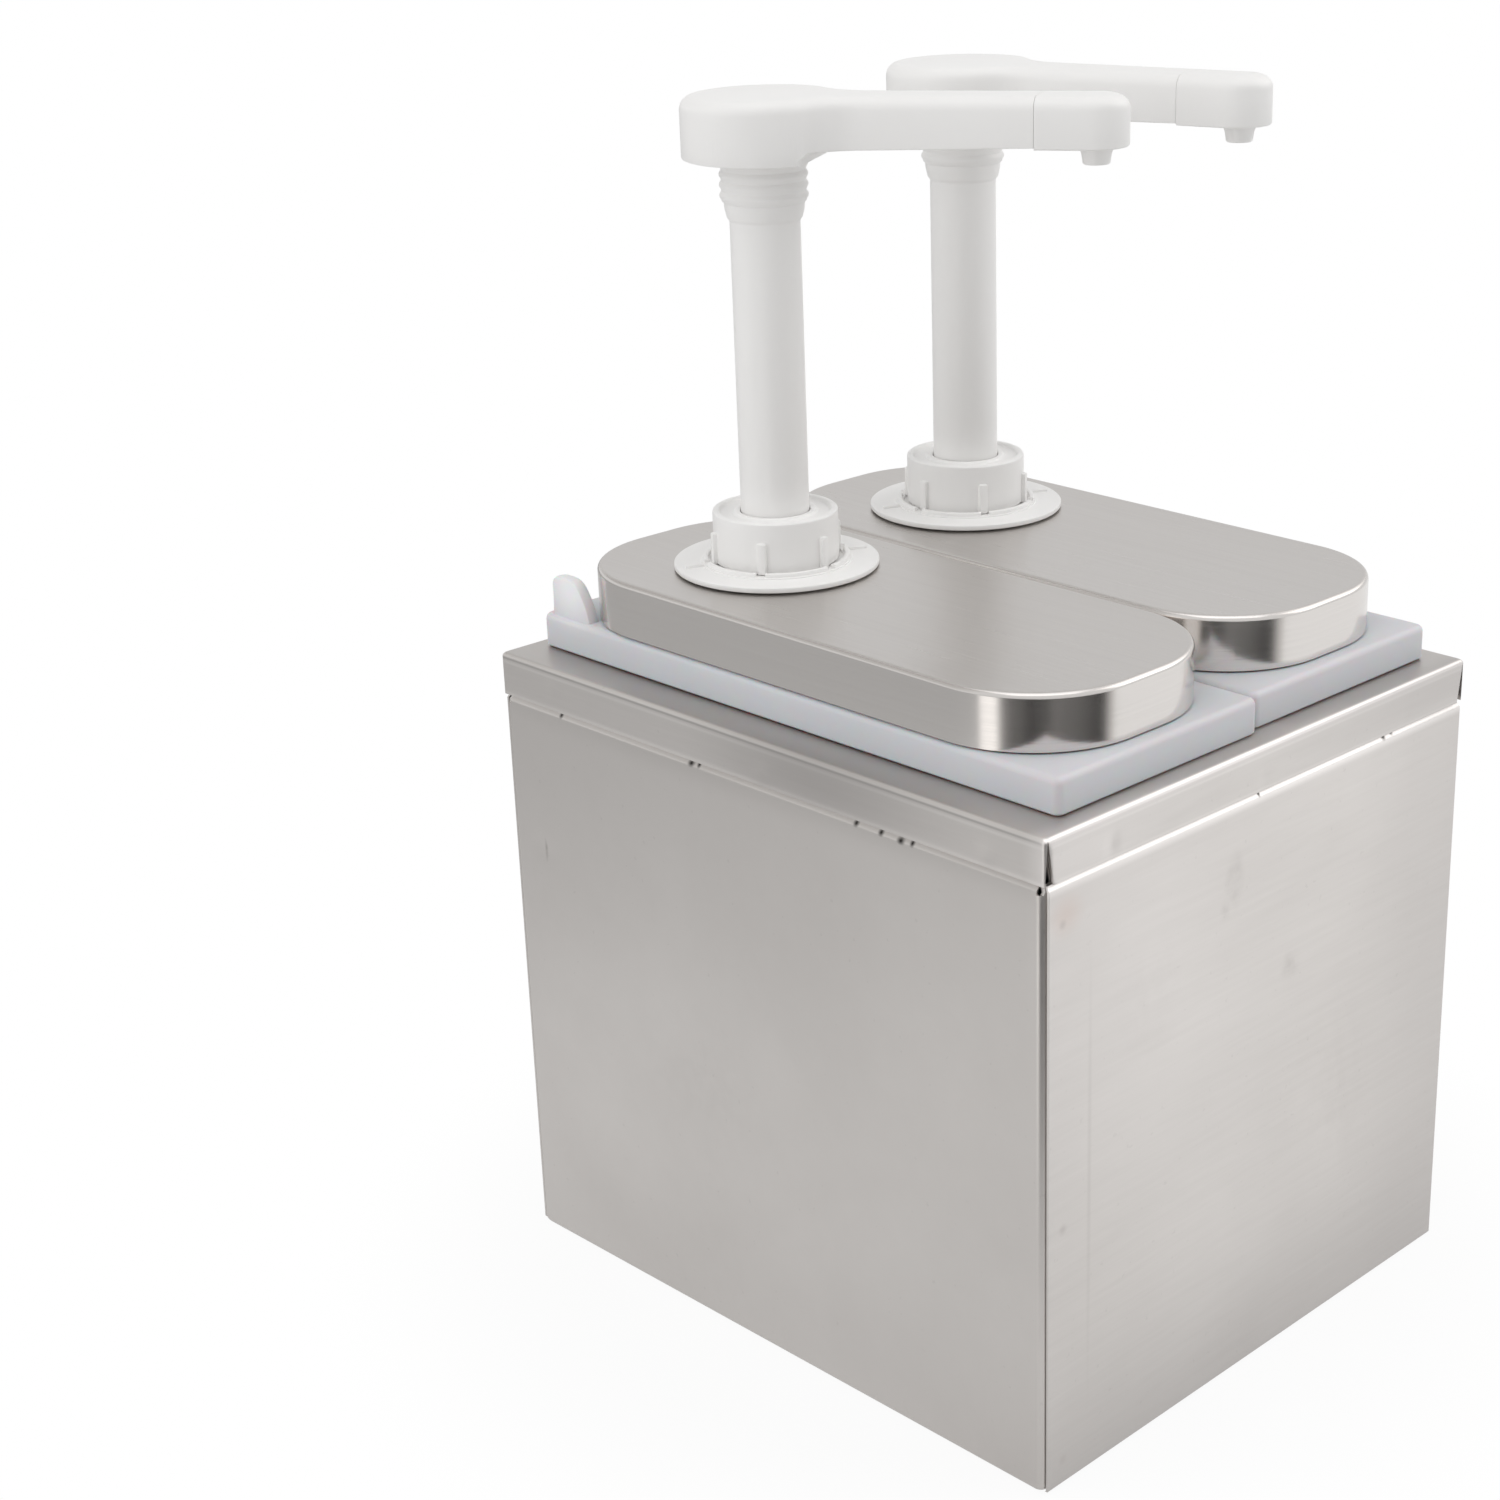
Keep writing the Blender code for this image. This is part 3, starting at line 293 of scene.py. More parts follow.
def combined(bm, *steps):
    """Joins ("UNION", mesh) or cuts ("DIFFERENCE", mesh), one after another, and returns the result as a bmesh."""
    obj = as_object("base", bm)
    helpers = []
    for operation, other in steps:
        helper = as_object("helper", other)
        helpers.append(helper)
        modifier = obj.modifiers.new(operation, "BOOLEAN")
        modifier.operation = operation
        modifier.object = helper
        modifier.solver = "EXACT"
    bpy.context.view_layer.update()
    result = bmesh.new()
    result.from_object(obj, bpy.context.evaluated_depsgraph_get())
    for old in (obj, *helpers):
        mesh = old.data
        bpy.data.objects.remove(old)
        bpy.data.meshes.remove(mesh)
    return result


def piece(name, bm, body, nodes, material, slot, matrix=None, angle=32.0, edge=0.0):
    """Shades a mesh, puts it in place on its body and has it stand for its CAD nodes."""
    if edge:
        sharp = [e for e in bm.edges if len(e.link_faces) == 2 and e.calc_face_angle(0) > radians(SHARP)]
        bmesh.ops.bevel(bm, geom=sharp, offset=edge, segments=2, profile=0.5, affect="EDGES", clamp_overlap=True)
    if matrix:
        bmesh.ops.transform(bm, matrix=matrix, verts=bm.verts)
    bm.normal_update()
    obj = as_object(name, bm)
    obj.data.shade_smooth()
    obj.data.set_sharp_from_angle(angle=radians(angle))
    obj.data.materials.append(material)
    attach(obj, body)
    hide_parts(*nodes)
    return obj


def unit_piece(side, name, bm, body, node, *looks):
    """A piece whose name, body and CAD node all end in its unit's side."""
    return piece(f"{name}_{side}", bm, f"{body}_{side}", [f"{node}_{side}"], *looks)


# Material helpers


class Nodes:
    """A node tree, with short ways to add to it."""

    def __init__(self, tree):
        self.tree = tree

    def add(self, kind, **settings):
        node = self.tree.nodes.new("ShaderNode" + kind)
        for key, value in settings.items():
            setattr(node, key, value)
        return node

    def join(self, source, target):
        self.tree.links.new(source, target)

    def feed(self, value, target):
        """Sets a socket from another socket or a plain value."""
        if isinstance(value, bpy.types.NodeSocket):
            self.join(value, target)
        else:
            target.default_value = value

    def math(self, operation, first, second=0.0):
        node = self.add("Math", operation=operation)
        self.feed(first, node.inputs[0])
        self.feed(second, node.inputs[1])
        return node.outputs["Value"]


class Finish(Nodes):
    """A Principled material with object-space textures."""

    def __init__(self, name, color, roughness, metallic=0.0, **sockets):
        self.material = bpy.data.materials.new(name)
        self.material.use_nodes = True
        super().__init__(self.material.node_tree)
        self.shader = self.tree.nodes["Principled BSDF"]
        self.shader.inputs["Base Color"].default_value = (*color, 1)
        self.shader.inputs["Roughness"].default_value = roughness
        self.shader.inputs["Metallic"].default_value = metallic
        for socket, value in sockets.items():
            self.shader.inputs[socket.replace("_", " ")].default_value = value
        self.position = self.add("TexCoord").outputs["Object"]

    def noise(self, scale, detail=3.0, roughness=0.5, distortion=0.0):
        """Noise over the object, stretched by a scale for each axis."""
        mapping = self.add("Mapping")
        mapping.inputs["Scale"].default_value = scale
        self.join(self.position, mapping.inputs["Vector"])
        noise = self.add("TexNoise")
        settings = {"Scale": 1.0, "Detail": detail, "Roughness": roughness, "Distortion": distortion}
        for socket, value in settings.items():
            noise.inputs[socket].default_value = value
        self.join(mapping.outputs["Vector"], noise.inputs["Vector"])
        return noise.outputs["Fac"]

    def ranged(self, value, low, high, to_low, to_high, smooth=False):
        node = self.add("MapRange")
        if smooth:
            node.interpolation_type = "SMOOTHSTEP"
        self.feed(value, node.inputs["Value"])
        for socket, number in zip(("From Min", "From Max", "To Min", "To Max"), (low, high, to_low, to_high)):
            node.inputs[socket].default_value = number
        return node.outputs["Result"]

    def vary(self, noise, low, high):
        """A value that runs from low to high over the usual span of a noise."""
        return self.ranged(noise, 0.3, 0.7, low, high)

    def axis(self, name, vector=None):
        node = self.add("SeparateXYZ")
        self.join(vector or self.position, node.inputs["Vector"])
        return node.outputs[name]

    def spot(self, centre, radii):
        """1 at a point of the object, falling to 0 at the given radius along each axis."""
        shift = self.add("VectorMath", operation="SUBTRACT")
        self.join(self.position, shift.inputs[0])
        shift.inputs[1].default_value = centre
        scale = self.add("VectorMath", operation="DIVIDE")
        self.join(shift.outputs["Vector"], scale.inputs[0])
        scale.inputs[1].default_value = radii
        length = self.add("VectorMath", operation="LENGTH")
        self.join(scale.outputs["Vector"], length.inputs[0])
        return self.ranged(length.outputs["Value"], 0.0, 1.0, 1.0, 0.0, smooth=True)

    def ramp(self, value, stops):
        """A grey level from (position, level) stops; a level may pass 1."""
        top = max(level for _, level in stops)
        node = self.add("ValToRGB")
        self.join(value, node.inputs["Fac"])
        elements = node.color_ramp.elements
        while len(elements) < len(stops):
            elements.new(0.5)
        for element, (position, level) in zip(elements, stops):
            element.position = position
            element.color = (*[level / top] * 3, 1)
        return self.math("MULTIPLY", self.axis("X", node.outputs["Color"]), top)

    def tint(self, color, factor, other):
        """Mixes a colour, plain or from a socket, towards another."""
        node = self.add("Mix", data_type="RGBA")
        self.feed(factor, node.inputs["Factor"])
        colors = [socket for socket in node.inputs if socket.type == "RGBA"]
        self.feed(color if isinstance(color, bpy.types.NodeSocket) else (*color, 1), colors[0])
        self.feed((*other, 1), colors[1])
        return [socket for socket in node.outputs if socket.type == "RGBA"][0]

    def bump(self, height, strength, distance, under=None):
        node = self.add("Bump")
        node.inputs["Strength"].default_value = strength
        node.inputs["Distance"].default_value = distance
        self.join(height, node.inputs["Height"])
        if under:
            self.join(under, node.inputs["Normal"])
        return node.outputs["Normal"]

    def use(self, **sockets):
        for socket, value in sockets.items():
            self.join(value, self.shader.inputs[socket.replace("_", " ")])
        return self.material


STEEL = (0.765, 0.735, 0.710)
STEEL_SHADE = (0.60, 0.572, 0.55)
# Dark colour for the front's smudges and for the painted shade in the left wall's dent.
SMUDGE_AND_DENT_SHADE = (0.34, 0.31, 0.29)
# Colour of the painted shade on the top frame's level face.
LEDGE_SHADE = (0.30, 0.285, 0.275)
# Colour of the painted shade on the covers' tops.
COVER_TOP_SHADE = (0.44, 0.42, 0.405)
# Pale colour painted on thin places as light shining through them.
LIT_THROUGH_TINT = (0.93, 0.94, 0.95)
RUBBER = (0.60, 0.60, 0.57)
FINE_PEEL = 0.00002


def sheet_steel(name, grain):
    """Cold-rolled sheet: soft cloudy sheen, faint grain along one axis, and small handling marks."""
    finish = Finish(name, STEEL, 0.36, 1.0)
    cloud = finish.noise((9, 9, 9), detail=4, distortion=0.4)
    streaks = finish.noise(grain, detail=5, roughness=0.65)
    specks = finish.noise((420, 420, 420), detail=2)
    shade = finish.math("ADD", finish.ranged(cloud, 0.35, 0.7, 0, 0.18), finish.vary(streaks, 0, 0.14))
    shade = finish.math("ADD", shade, finish.ranged(specks, 0.70, 0.76, 0, 0.25))
    color = finish.tint(STEEL, shade, STEEL_SHADE)
    return finish, color, cloud, streaks


def case_steel(name, grain, marks=(), tints_and_painted_light=(), ledge_shade=0.0):
    """Sheet steel with dark handling marks (one of them painted shade in a dent), tinted areas with painted highlights
    and shade, and, on the top frame, painted shade on its level face.
    """
    finish, color, cloud, streaks = sheet_steel(name, grain)
    for centre, radii, strength in marks:
        ragged = finish.ranged(finish.noise((160, 160, 160), detail=3), 0.38, 0.62, 0.25, 1.0)
        # Dark marks: real smudges on the front panel, painted shade in the dent on the left wall.
        smudge_and_shade = finish.math("MULTIPLY", finish.math("MULTIPLY", finish.spot(centre, radii), strength), ragged)
        color = finish.tint(color, smudge_and_shade, SMUDGE_AND_DENT_SHADE)
    # Painted shade: the frame's level face is darkened where its normal points up.
    if ledge_shade:
        upright = finish.axis("Z", finish.add("NewGeometry").outputs["Normal"])
        flat = finish.ranged(upright, 0.75, 0.98, 0, ledge_shade, smooth=True)
        color = finish.tint(color, flat, LEDGE_SHADE)
    # Spots of painted highlight and painted shade, along with real weld tints and specks.
    for centre, radii, strength, hue in tints_and_painted_light:
        color = finish.tint(color, finish.math("MULTIPLY", finish.spot(centre, radii), strength), hue)
    rough = finish.math("ADD", finish.vary(cloud, 0.33, 0.42), finish.vary(streaks, 0, 0.05))
    waves = finish.bump(cloud, 0.25, 0.0010)
    normal = finish.bump(streaks, 0.25, 0.00006, waves)
    return finish.use(Base_Color=color, Roughness=rough, Normal=normal)


def cover_steel():
    """Deep-drawn cover: a satin top brushed lengthwise, with painted shade making it darker than the skirt, and a skirt
    with fine level lines.
    """
    finish = Finish("cover_steel", STEEL, 0.25, 1.0)
    upright = finish.math("ABSOLUTE", finish.axis("Z", finish.add("NewGeometry").outputs["Normal"]))
    top = finish.ranged(upright, 0.55, 0.95, 0, 1, smooth=True)
    brushed = finish.noise((900, 14, 900), detail=4, roughness=0.7)
    lines = finish.noise((16, 16, 1500), detail=4, roughness=0.7)
    cloud = finish.noise((12, 6, 12), detail=3)
    mixed = finish.add("Mix", data_type="FLOAT")
    finish.join(top, mixed.inputs["Factor"])
    finish.join(lines, mixed.inputs["A"])
    finish.join(brushed, mixed.inputs["B"])
    grain = mixed.outputs["Result"]
    shade = finish.math("ADD", finish.vary(grain, 0, 0.16), finish.vary(cloud, 0, 0.10))
    color = finish.tint(STEEL, shade, STEEL_SHADE)
    # Painted shade: the faces that look up are darkened.
    color = finish.tint(color, finish.math("MULTIPLY", top, 0.42), COVER_TOP_SHADE)
    rough = finish.math("ADD", finish.ranged(top, 0, 1, 0.15, 0.27), finish.vary(grain, 0, 0.06))
    normal = finish.bump(grain, 0.25, 0.00005)
    return finish.use(Base_Color=color, Roughness=rough, Normal=normal)


def plastic(name, color, shade, roughness, lit_through=(), **sockets):
    """Moulded plastic: slight tone drift, an uneven gloss, a very fine orange peel, and painted light where light would
    shine through thin places.
    """
    finish = Finish(name, color, roughness, **sockets)
    drift = finish.noise((14, 14, 14), detail=3)
    peel = finish.noise((700, 700, 700), detail=2)
    tone = finish.tint(color, finish.vary(drift, 0, 1), shade)
    # Painted light: thin places made paler, as if lit through.
    for centre, radii in lit_through:
        tone = finish.tint(tone, finish.math("MULTIPLY", finish.spot(centre, radii), 0.85), LIT_THROUGH_TINT)
    rough = finish.vary(drift, roughness - 0.04, roughness + 0.05)
    return finish.use(Base_Color=tone, Roughness=rough, Normal=finish.bump(peel, 0.3, FINE_PEEL))


def rubber():
    finish = Finish("seal_rubber", RUBBER, 0.7)
    mottle = finish.noise((300, 300, 300), detail=3)
    tone = finish.tint(RUBBER, finish.ranged(mottle, 0.4, 0.7, 0, 1), (0.46, 0.46, 0.44))
    return finish.use(Base_Color=tone, Normal=finish.bump(mottle, 0.4, 0.0001))


def bright_steel():
    finish = Finish("bright_steel", (0.74, 0.73, 0.72), 0.14, 1.0)
    drawn = finish.noise((60, 60, 900), detail=3)
    rough = finish.vary(drawn, 0.10, 0.24)
    return finish.use(Roughness=rough, Normal=finish.bump(drawn, 0.2, FINE_PEEL))


# Case


def dimple(point, centre, radius, depth):
    """How deep a round dent is at a point, in the plane of the sheet."""
    distance = (point - centre).length / radius
    return depth * (0.5 + 0.5 * cos(pi * distance)) if distance < 1 else 0.0


LEFT_DENTS = (((-0.1025, 0.1035, 0.1480), 0.0060, 0.0006),)
BAND_DENTS = (
    (-0.1025, 0.0943, 0.2070), (-0.1025, -0.0054, 0.2036), (-0.1025, -0.0977, 0.2034), (-0.0745, -0.1200, 0.2043),
    (-0.0039, -0.1200, 0.2038), (0.0700, -0.1200, 0.2040), (0.1025, -0.0700, 0.2040), (0.1025, 0.0500, 0.2040),
    (0.0500, 0.1200, 0.2040), (-0.0500, 0.1200, 0.2040),
)
PANEL_DENTS = (
    (-0.0953, 0.1864), (-0.0947, 0.0889), (-0.0942, 0.0091), (0.0950, 0.1700), (0.0945, 0.0900), (0.0945, 0.0200),
)
BAND_DENT = (0.0042, 0.00055)
PANEL_DENT = (0.0042, 0.00022)
DENT_REACH = 0.004
WRAP_RELIEF = 0.0035
PANEL_RELIEF = 0.0025
SLIT_DEPTH = 0.0030
OUTSIDE = 0.001


def press_dents(bm, dents):
    """Pushes the skin inwards at each dent, on the side that the dent is on."""
    for vert in bm.verts:
        for centre, radius, depth in dents:
            centre = Vector(centre)
            if abs(centre.x) > abs(centre.y) * CASE_WIDTH / CASE_DEPTH:
                inwards = Vector((-copysign(1, centre.x), 0, 0))
            else:
                inwards = Vector((0, -copysign(1, centre.y), 0))
            if abs((vert.co - centre).dot(inwards)) < DENT_REACH:
                vert.co += inwards * dimple(vert.co, centre, radius, depth)


def tray_levels(width, length, top):
    """Up the inside of the folded tray, over its edge and down the outside, with closely spaced outer rings."""
    tuck = SHEET + GAP
    shoulder = top - BAND_HEIGHT - SHOULDER
    inner_bend = CASE_BEND - SHEET
    quarter = [pi / 2 * step / 6 for step in range(7)]
    levels = []

    def ring(inset, height, corner):
        levels.append((width - 2 * inset, length - 2 * inset, corner, height))

    for angle in quarter:
        ring(SHEET + inner_bend * (1 - sin(angle)), SHEET + inner_bend * (1 - cos(angle)), inner_bend)
    ring(SHEET, shoulder, inner_bend)
    ring(SHEET + tuck, shoulder + SHOULDER, inner_bend)
    ring(SHEET + tuck, top - SHEET - GAP, inner_bend)
    ring(tuck, top - SHEET - GAP, CASE_BEND)
    joggle = 8
    for step in range(joggle + 1):
        share = step / joggle
        blend = 0.5 + 0.5 * cos(pi * share)
        ring(tuck * blend, shoulder + SHOULDER * (1 - share), CASE_BEND)
    rows = round((shoulder - CASE_BEND) / FINE_GRID)
    for row in range(1, rows + 1):
        ring(0, shoulder - (shoulder - CASE_BEND) * row / rows, CASE_BEND)
    for angle in quarter[1:]:
        ring(CASE_BEND * (1 - cos(angle)), CASE_BEND * (1 - sin(angle)), CASE_BEND)
    return levels


def make_wrap(material):
    length = CASE_DEPTH - 2 * (SHEET + GAP)
    tray = stack(tray_levels(CASE_WIDTH, length, CASE_HEIGHT), CORNER, FINE_GRID)
    press_dents(tray, LEFT_DENTS)
    window = CASE_WIDTH / 2 - CASE_FLANGE
    reach = CASE_DEPTH / 2 + OVERRUN
    cutter = block((-window, -reach, CASE_FLANGE), (window, reach, CASE_HEIGHT + OVERRUN))
    wrap = combined(tray, ("DIFFERENCE", cutter), *corner_reliefs(WRAP_RELIEF))
    piece("wrap_sheet", wrap, "case", ["case_wrap"], material, "case_steel", edge=0.00012)


def make_panel(name, side, node, material):
    """A sheet over the flanges, joggled behind the band at its top."""
    outer = CASE_DEPTH / 2
    tuck = SHEET + GAP
    shoulder = CASE_HEIGHT - BAND_HEIGHT - SHOULDER
    top = CASE_HEIGHT - SHEET - GAP
    half = CASE_WIDTH / 2 - PANEL_MARGIN
    face = [(outer - SHEET * 0.5, PANEL_FOOT)]
    face += [(outer - SHEET * 0.15, PANEL_FOOT + SHEET * 0.15), (outer, PANEL_FOOT + SHEET * 0.6)]
    rows = round(shoulder / FINE_GRID)
    face += [(outer, PANEL_FOOT + (shoulder - PANEL_FOOT) * row / rows) for row in range(1, rows)]
    for step in range(9):
        share = step / 8
        face.append((outer - tuck * (0.5 - 0.5 * cos(pi * share)), shoulder + SHOULDER * share))
    face.append((outer - tuck, top))
    columns = round(2 * half / FINE_GRID)
    edges = [0, 0.0003, 0.0008]
    across = [-half + edge for edge in edges]
    across += [-half + 2 * half * column / columns for column in range(1, columns)]
    across += [half - edge for edge in reversed(edges)]
    bm = bmesh.new()
    front, back = [], []
    for x in across:
        front.append([bm.verts.new((x, side * y, z)) for y, z in face])
        back.append([bm.verts.new((x, side * (y - SHEET), z)) for y, z in face])
    for left, right, near, far in zip(front, front[1:], back, back[1:]):
        for row in range(len(face) - 1):
            bm.faces.new((left[row], right[row], right[row + 1], left[row + 1]))
            bm.faces.new((near[row], near[row + 1], far[row + 1], far[row]))
        bm.faces.new((left[0], near[0], far[0], right[0]))
        bm.faces.new((left[-1], right[-1], far[-1], near[-1]))
    for outside, inside in ((front[0], back[0]), (front[-1], back[-1])):
        for row in range(len(face) - 1):
            bm.faces.new((outside[row], outside[row + 1], inside[row + 1], inside[row]))
    weld(bm)
    press_dents(bm, [((x, side * outer, z), *PANEL_DENT) for x, z in PANEL_DENTS])
    bm = combined(bm, *corner_reliefs(PANEL_RELIEF))
    piece(name, bm, "case", [node], material, "case_steel", edge=0.0001)


def corner_cutter(levels, depth):
    """Tapering cuts in the front and rear skins beside each corner: (height, start, end) along X from it."""
    bm = bmesh.new()
    for x_side in (-1, 1):
        for y_side in (-1, 1):
            points = []
            for height, start, end in levels:
                for along in (start, end):
                    for inwards in (-OUTSIDE, depth):
                        x = x_side * (CASE_WIDTH / 2 - along)
                        points.append(bm.verts.new((x, y_side * (CASE_DEPTH / 2 - inwards), height)))
            bmesh.ops.convex_hull(bm, input=points)
    return "DIFFERENCE", weld(bm)


def corner_reliefs(depth):
    """Cutters for the open notches behind the band's slits, and for a small hole below each."""
    foot = CASE_HEIGHT - BAND_HEIGHT
    notch = ((foot - 0.0002, -OUTSIDE, 0.0044), (CASE_HEIGHT - 0.0001, -OUTSIDE, 0.0016))
    hole = ((foot - 0.0030, -OUTSIDE, 0.0010), (foot + 0.0005, -OUTSIDE, 0.0021))
    return [corner_cutter(levels, depth) for levels in (notch, hole)]


def make_top_frame(material):
    underside = CASE_HEIGHT - SHEET
    foot = CASE_HEIGHT - BAND_HEIGHT
    inner_bend = BAND_BEND - SHEET
    quarter = [pi / 2 * step / 5 for step in range(6)]
    levels = []

    def ring(inset, height, corner):
        levels.append((CASE_WIDTH - 2 * inset, CASE_DEPTH - 2 * inset, corner, height))

    for angle in quarter:
        ring(SHEET + inner_bend * (1 - sin(angle)), underside - inner_bend * (1 - cos(angle)), inner_bend)
    ring(SHEET, foot, inner_bend)
    rows = 6
    for row in range(rows + 1):
        ring(0, foot + (BAND_HEIGHT - BAND_BEND) * row / rows, BAND_BEND)
    for angle in quarter[1:]:
        ring(BAND_BEND * (1 - cos(angle)), CASE_HEIGHT - BAND_BEND * (1 - sin(angle)), BAND_BEND)
    plate = stack(levels, 6, FINE_GRID / 2)
    press_dents(plate, [(centre, *BAND_DENT) for centre in BAND_DENTS])
    cuts = []
    for side, x in UNIT_X.items():
        size = inset_size(TANK, -(TANK_WALL + FRAME_CLEARANCE))
        hole = stack([(*size, foot), (*size, CASE_HEIGHT + OVERRUN)])
        bmesh.ops.translate(hole, verts=hole.verts, vec=(x, UNIT_Y[side], 0))
        cuts.append(("DIFFERENCE", hole))
    slit = ((foot - OVERRUN, 0.0001, 0.0041), (CASE_HEIGHT - 0.0009, 0.0009, 0.0011))
    cuts.append(corner_cutter(slit, SLIT_DEPTH))
    frame_mesh = combined(plate, *cuts)
    piece("frame_sheet", frame_mesh, "case", ["top_frame"], material, "case_steel", edge=0.0001)


# Tanks and covers


def quarter_levels(size, inset_to, start, reach, steps=5):
    """Rings that round an edge, from (width, length, corner) at one height to an inset at another."""
    levels = []
    for step in range(steps + 1):
        angle = pi / 2 * step / steps
        inset = inset_to * (1 - cos(angle))
        levels.append((*inset_size(size, inset), start + reach * sin(angle)))
    return levels


def make_tank(side, material):
    outer = inset_size(TANK, -TANK_WALL)
    edge = 0.0023
    floor = 0.006
    levels = []
    for width, length, corner, height in reversed(quarter_levels(outer, floor, 0, 1.0)):
        levels.append((width, length, corner, TANK_FOOT + floor * (1 - height)))
    levels += [(*outer, RIM_BOTTOM - GAP), (*outer, RIM_BOTTOM)]
    foot_inset = 0.0006
    levels.append((*inset_size(RIM, foot_inset), RIM_BOTTOM))
    levels.append((*RIM, RIM_BOTTOM + foot_inset))
    levels += quarter_levels(RIM, edge, RIM_TOP - edge, edge)
    lip = 0.0010
    levels.append((*inset_size(TANK, -lip), RIM_TOP))
    levels.append((TANK[0] + lip / 2, TANK[1] + lip / 2, TANK[2], RIM_TOP - lip / 3))
    levels.append((*TANK, RIM_TOP - lip))
    for width, length, corner, height in quarter_levels(TANK, floor, 0, 1.0):
        levels.append((width, length, corner, TANK_FOOT + TANK_WALL + floor * (1 - height)))
    tank = stack(levels)
    outer_x = SIGN[side] * (RIM[0] / 2 - edge * 0.6)
    inner_x = outer_x - SIGN[side] * TAB_THICKNESS
    rear = RIM[1] / 2 - TAB_REAR
    low = RIM_TOP - 0.004
    shares = (
        (0.0, 0.74), (0.012, 0.83), (0.045, 0.915), (0.10, 0.97), (0.18, 0.997), (0.28, 1.0), (0.38, 1.0), (0.48, 0.99),
        (0.57, 0.96), (0.65, 0.90), (0.71, 0.82), (0.765, 0.72), (0.81, 0.62), (0.86, 0.51), (0.905, 0.385),
        (0.945, 0.25), (0.977, 0.12), (1.0, 0.0),
    )
    profile = [(rear, low), (rear, RIM_TOP + TAB_HEIGHT * 0.4)]
    profile += [(rear - TAB_BASE * along, RIM_TOP + TAB_HEIGHT * up) for along, up in shares]
    profile.append((rear - TAB_BASE, low))
    rounding = 0.0009
    rings = []
    middle = Vector((rear - TAB_BASE * 0.36, RIM_TOP + TAB_HEIGHT / 3))
    edges = ((0, rounding), (0.08, rounding * 0.3), (0.3, 0))
    thick = outer_x - inner_x
    sections = [(outer_x - thick * share, inset) for share, inset in edges]
    sections += [(inner_x + thick * share, inset) for share, inset in reversed(edges)]
    for x, inset in sections:
        ring = []
        for y, z in profile:
            inward = middle - Vector((y, z))
            shift = inward.normalized() * inset if z > low + GAP else Vector((0, 0))
            ring.append((x, y + shift.x, z + shift.y))
        rings.append(ring)
    tank = combined(tank, ("UNION", bridge(rings)))
    place = Matrix.Translation((UNIT_X[side], UNIT_Y[side], 0))
    unit_piece(side, "tank_body", tank, "tank_body", "tank", material, "tank_plastic", place, 40)


def make_cover(side, material):
    edge = COVER_EDGE
    inner = edge - COVER_SHEET
    inside = inset_size(COVER, COVER_SHEET)
    under = COVER_TOP - COVER_SHEET
    levels = quarter_levels(inside, inner, under - inner, inner, 6)[::-1]
    levels.append((*inside, COVER_BOTTOM + 0.0002))
    levels.append((*inset_size(COVER, COVER_SHEET / 2), COVER_BOTTOM))
    levels.append((*COVER, COVER_BOTTOM + 0.0003))
    levels += quarter_levels(COVER, edge, COVER_TOP - edge, edge, 8)
    crown = 0.0002
    levels.append((*inset_size(COVER, edge + 0.002), COVER_TOP - crown))
    hole = LOWER_NECK + RUNNING_GAP
    above = COVER_TOP + OVERRUN
    cutter = lathe([(0, COVER_BOTTOM), (hole, COVER_BOTTOM), (hole, above), (0, above)], 64, False, PUMP_OFFSET)
    cover = combined(stack(levels, 20), ("DIFFERENCE", cutter))
    place = Matrix.Translation((UNIT_X[side], UNIT_Y[side], 0))
    unit_piece(side, "cover_shell", cover, "cover_body", "cover", material, "cover_steel", place)


# Pumps


def make_flange(side, place, material):
    profile = [
        (NECK_BORE, FLANGE_BOTTOM - 0.0183), (LOWER_NECK, FLANGE_BOTTOM - 0.0183), (LOWER_NECK, FLANGE_BOTTOM),
        (FLANGE_RADIUS, FLANGE_BOTTOM), (FLANGE_RADIUS, FLANGE_TOP), (0.0246, FLANGE_TOP),
        (0.0246, FLANGE_TOP + 0.0005), (0.0216, FLANGE_TOP + 0.0005), (0.0216, FLANGE_TOP), (UPPER_NECK, FLANGE_TOP),
        (UPPER_NECK, NECK_TOP), (NECK_BORE, NECK_TOP),
    ]
    body = lathe(soften(profile, 0.0006))
    steps = [("UNION", round_axis(2, 0.0245, 0.0305, 0.0014, FLANGE_TOP - 0.0005, FLANGE_TOP + 0.0008, SPOKE_TURN))]
    for index in range(6):
        start = COLLAR_TURN[side] + tau * index / 6
        ridge = arc_ridge(0.0221, 0.0238, start + 0.07, start + 0.98, FLANGE_TOP - 0.0004, FLANGE_TOP + 0.0017)
        steps.append(("UNION", ridge))
    flange = combined(body, *steps)
    unit_piece(side, "flange_plate", flange, "cover_body", "mounting_flange", material, "pump_plastic", place)


def make_collar(side, place, material):
    bore = UPPER_NECK + RUNNING_GAP
    ceiling = COLLAR_TOP - 0.0034
    profile = [
        (bore, COLLAR_BOTTOM), (COLLAR_RADIUS, COLLAR_BOTTOM), (COLLAR_RADIUS, COLLAR_TOP),
        (COLLAR_RADIUS - 0.0022, COLLAR_TOP), (COLLAR_RADIUS - 0.0027, COLLAR_TOP - 0.0011),
        (STEM_RADIUS + 0.0027, COLLAR_TOP - 0.0011), (STEM_RADIUS + 0.0022, COLLAR_TOP - 0.0002),
        (STEM_RADIUS + 0.0002, COLLAR_TOP - 0.0002), (STEM_RADIUS + 0.0002, ceiling), (bore, ceiling),
    ]
    body = lathe(soften(profile, 0.0009))
    low = COLLAR_BOTTOM + 0.0002
    reach = COLLAR_RADIUS + 0.0014
    ribs = round_axis(6, COLLAR_RADIUS - 0.001, reach, 0.0030, low, low + 0.0102, COLLAR_TURN[side], 0.0006)
    collar = combined(body, ("UNION", ribs))
    unit_piece(side, "collar_cap", collar, "cover_body", "collar", material, "pump_plastic", place)


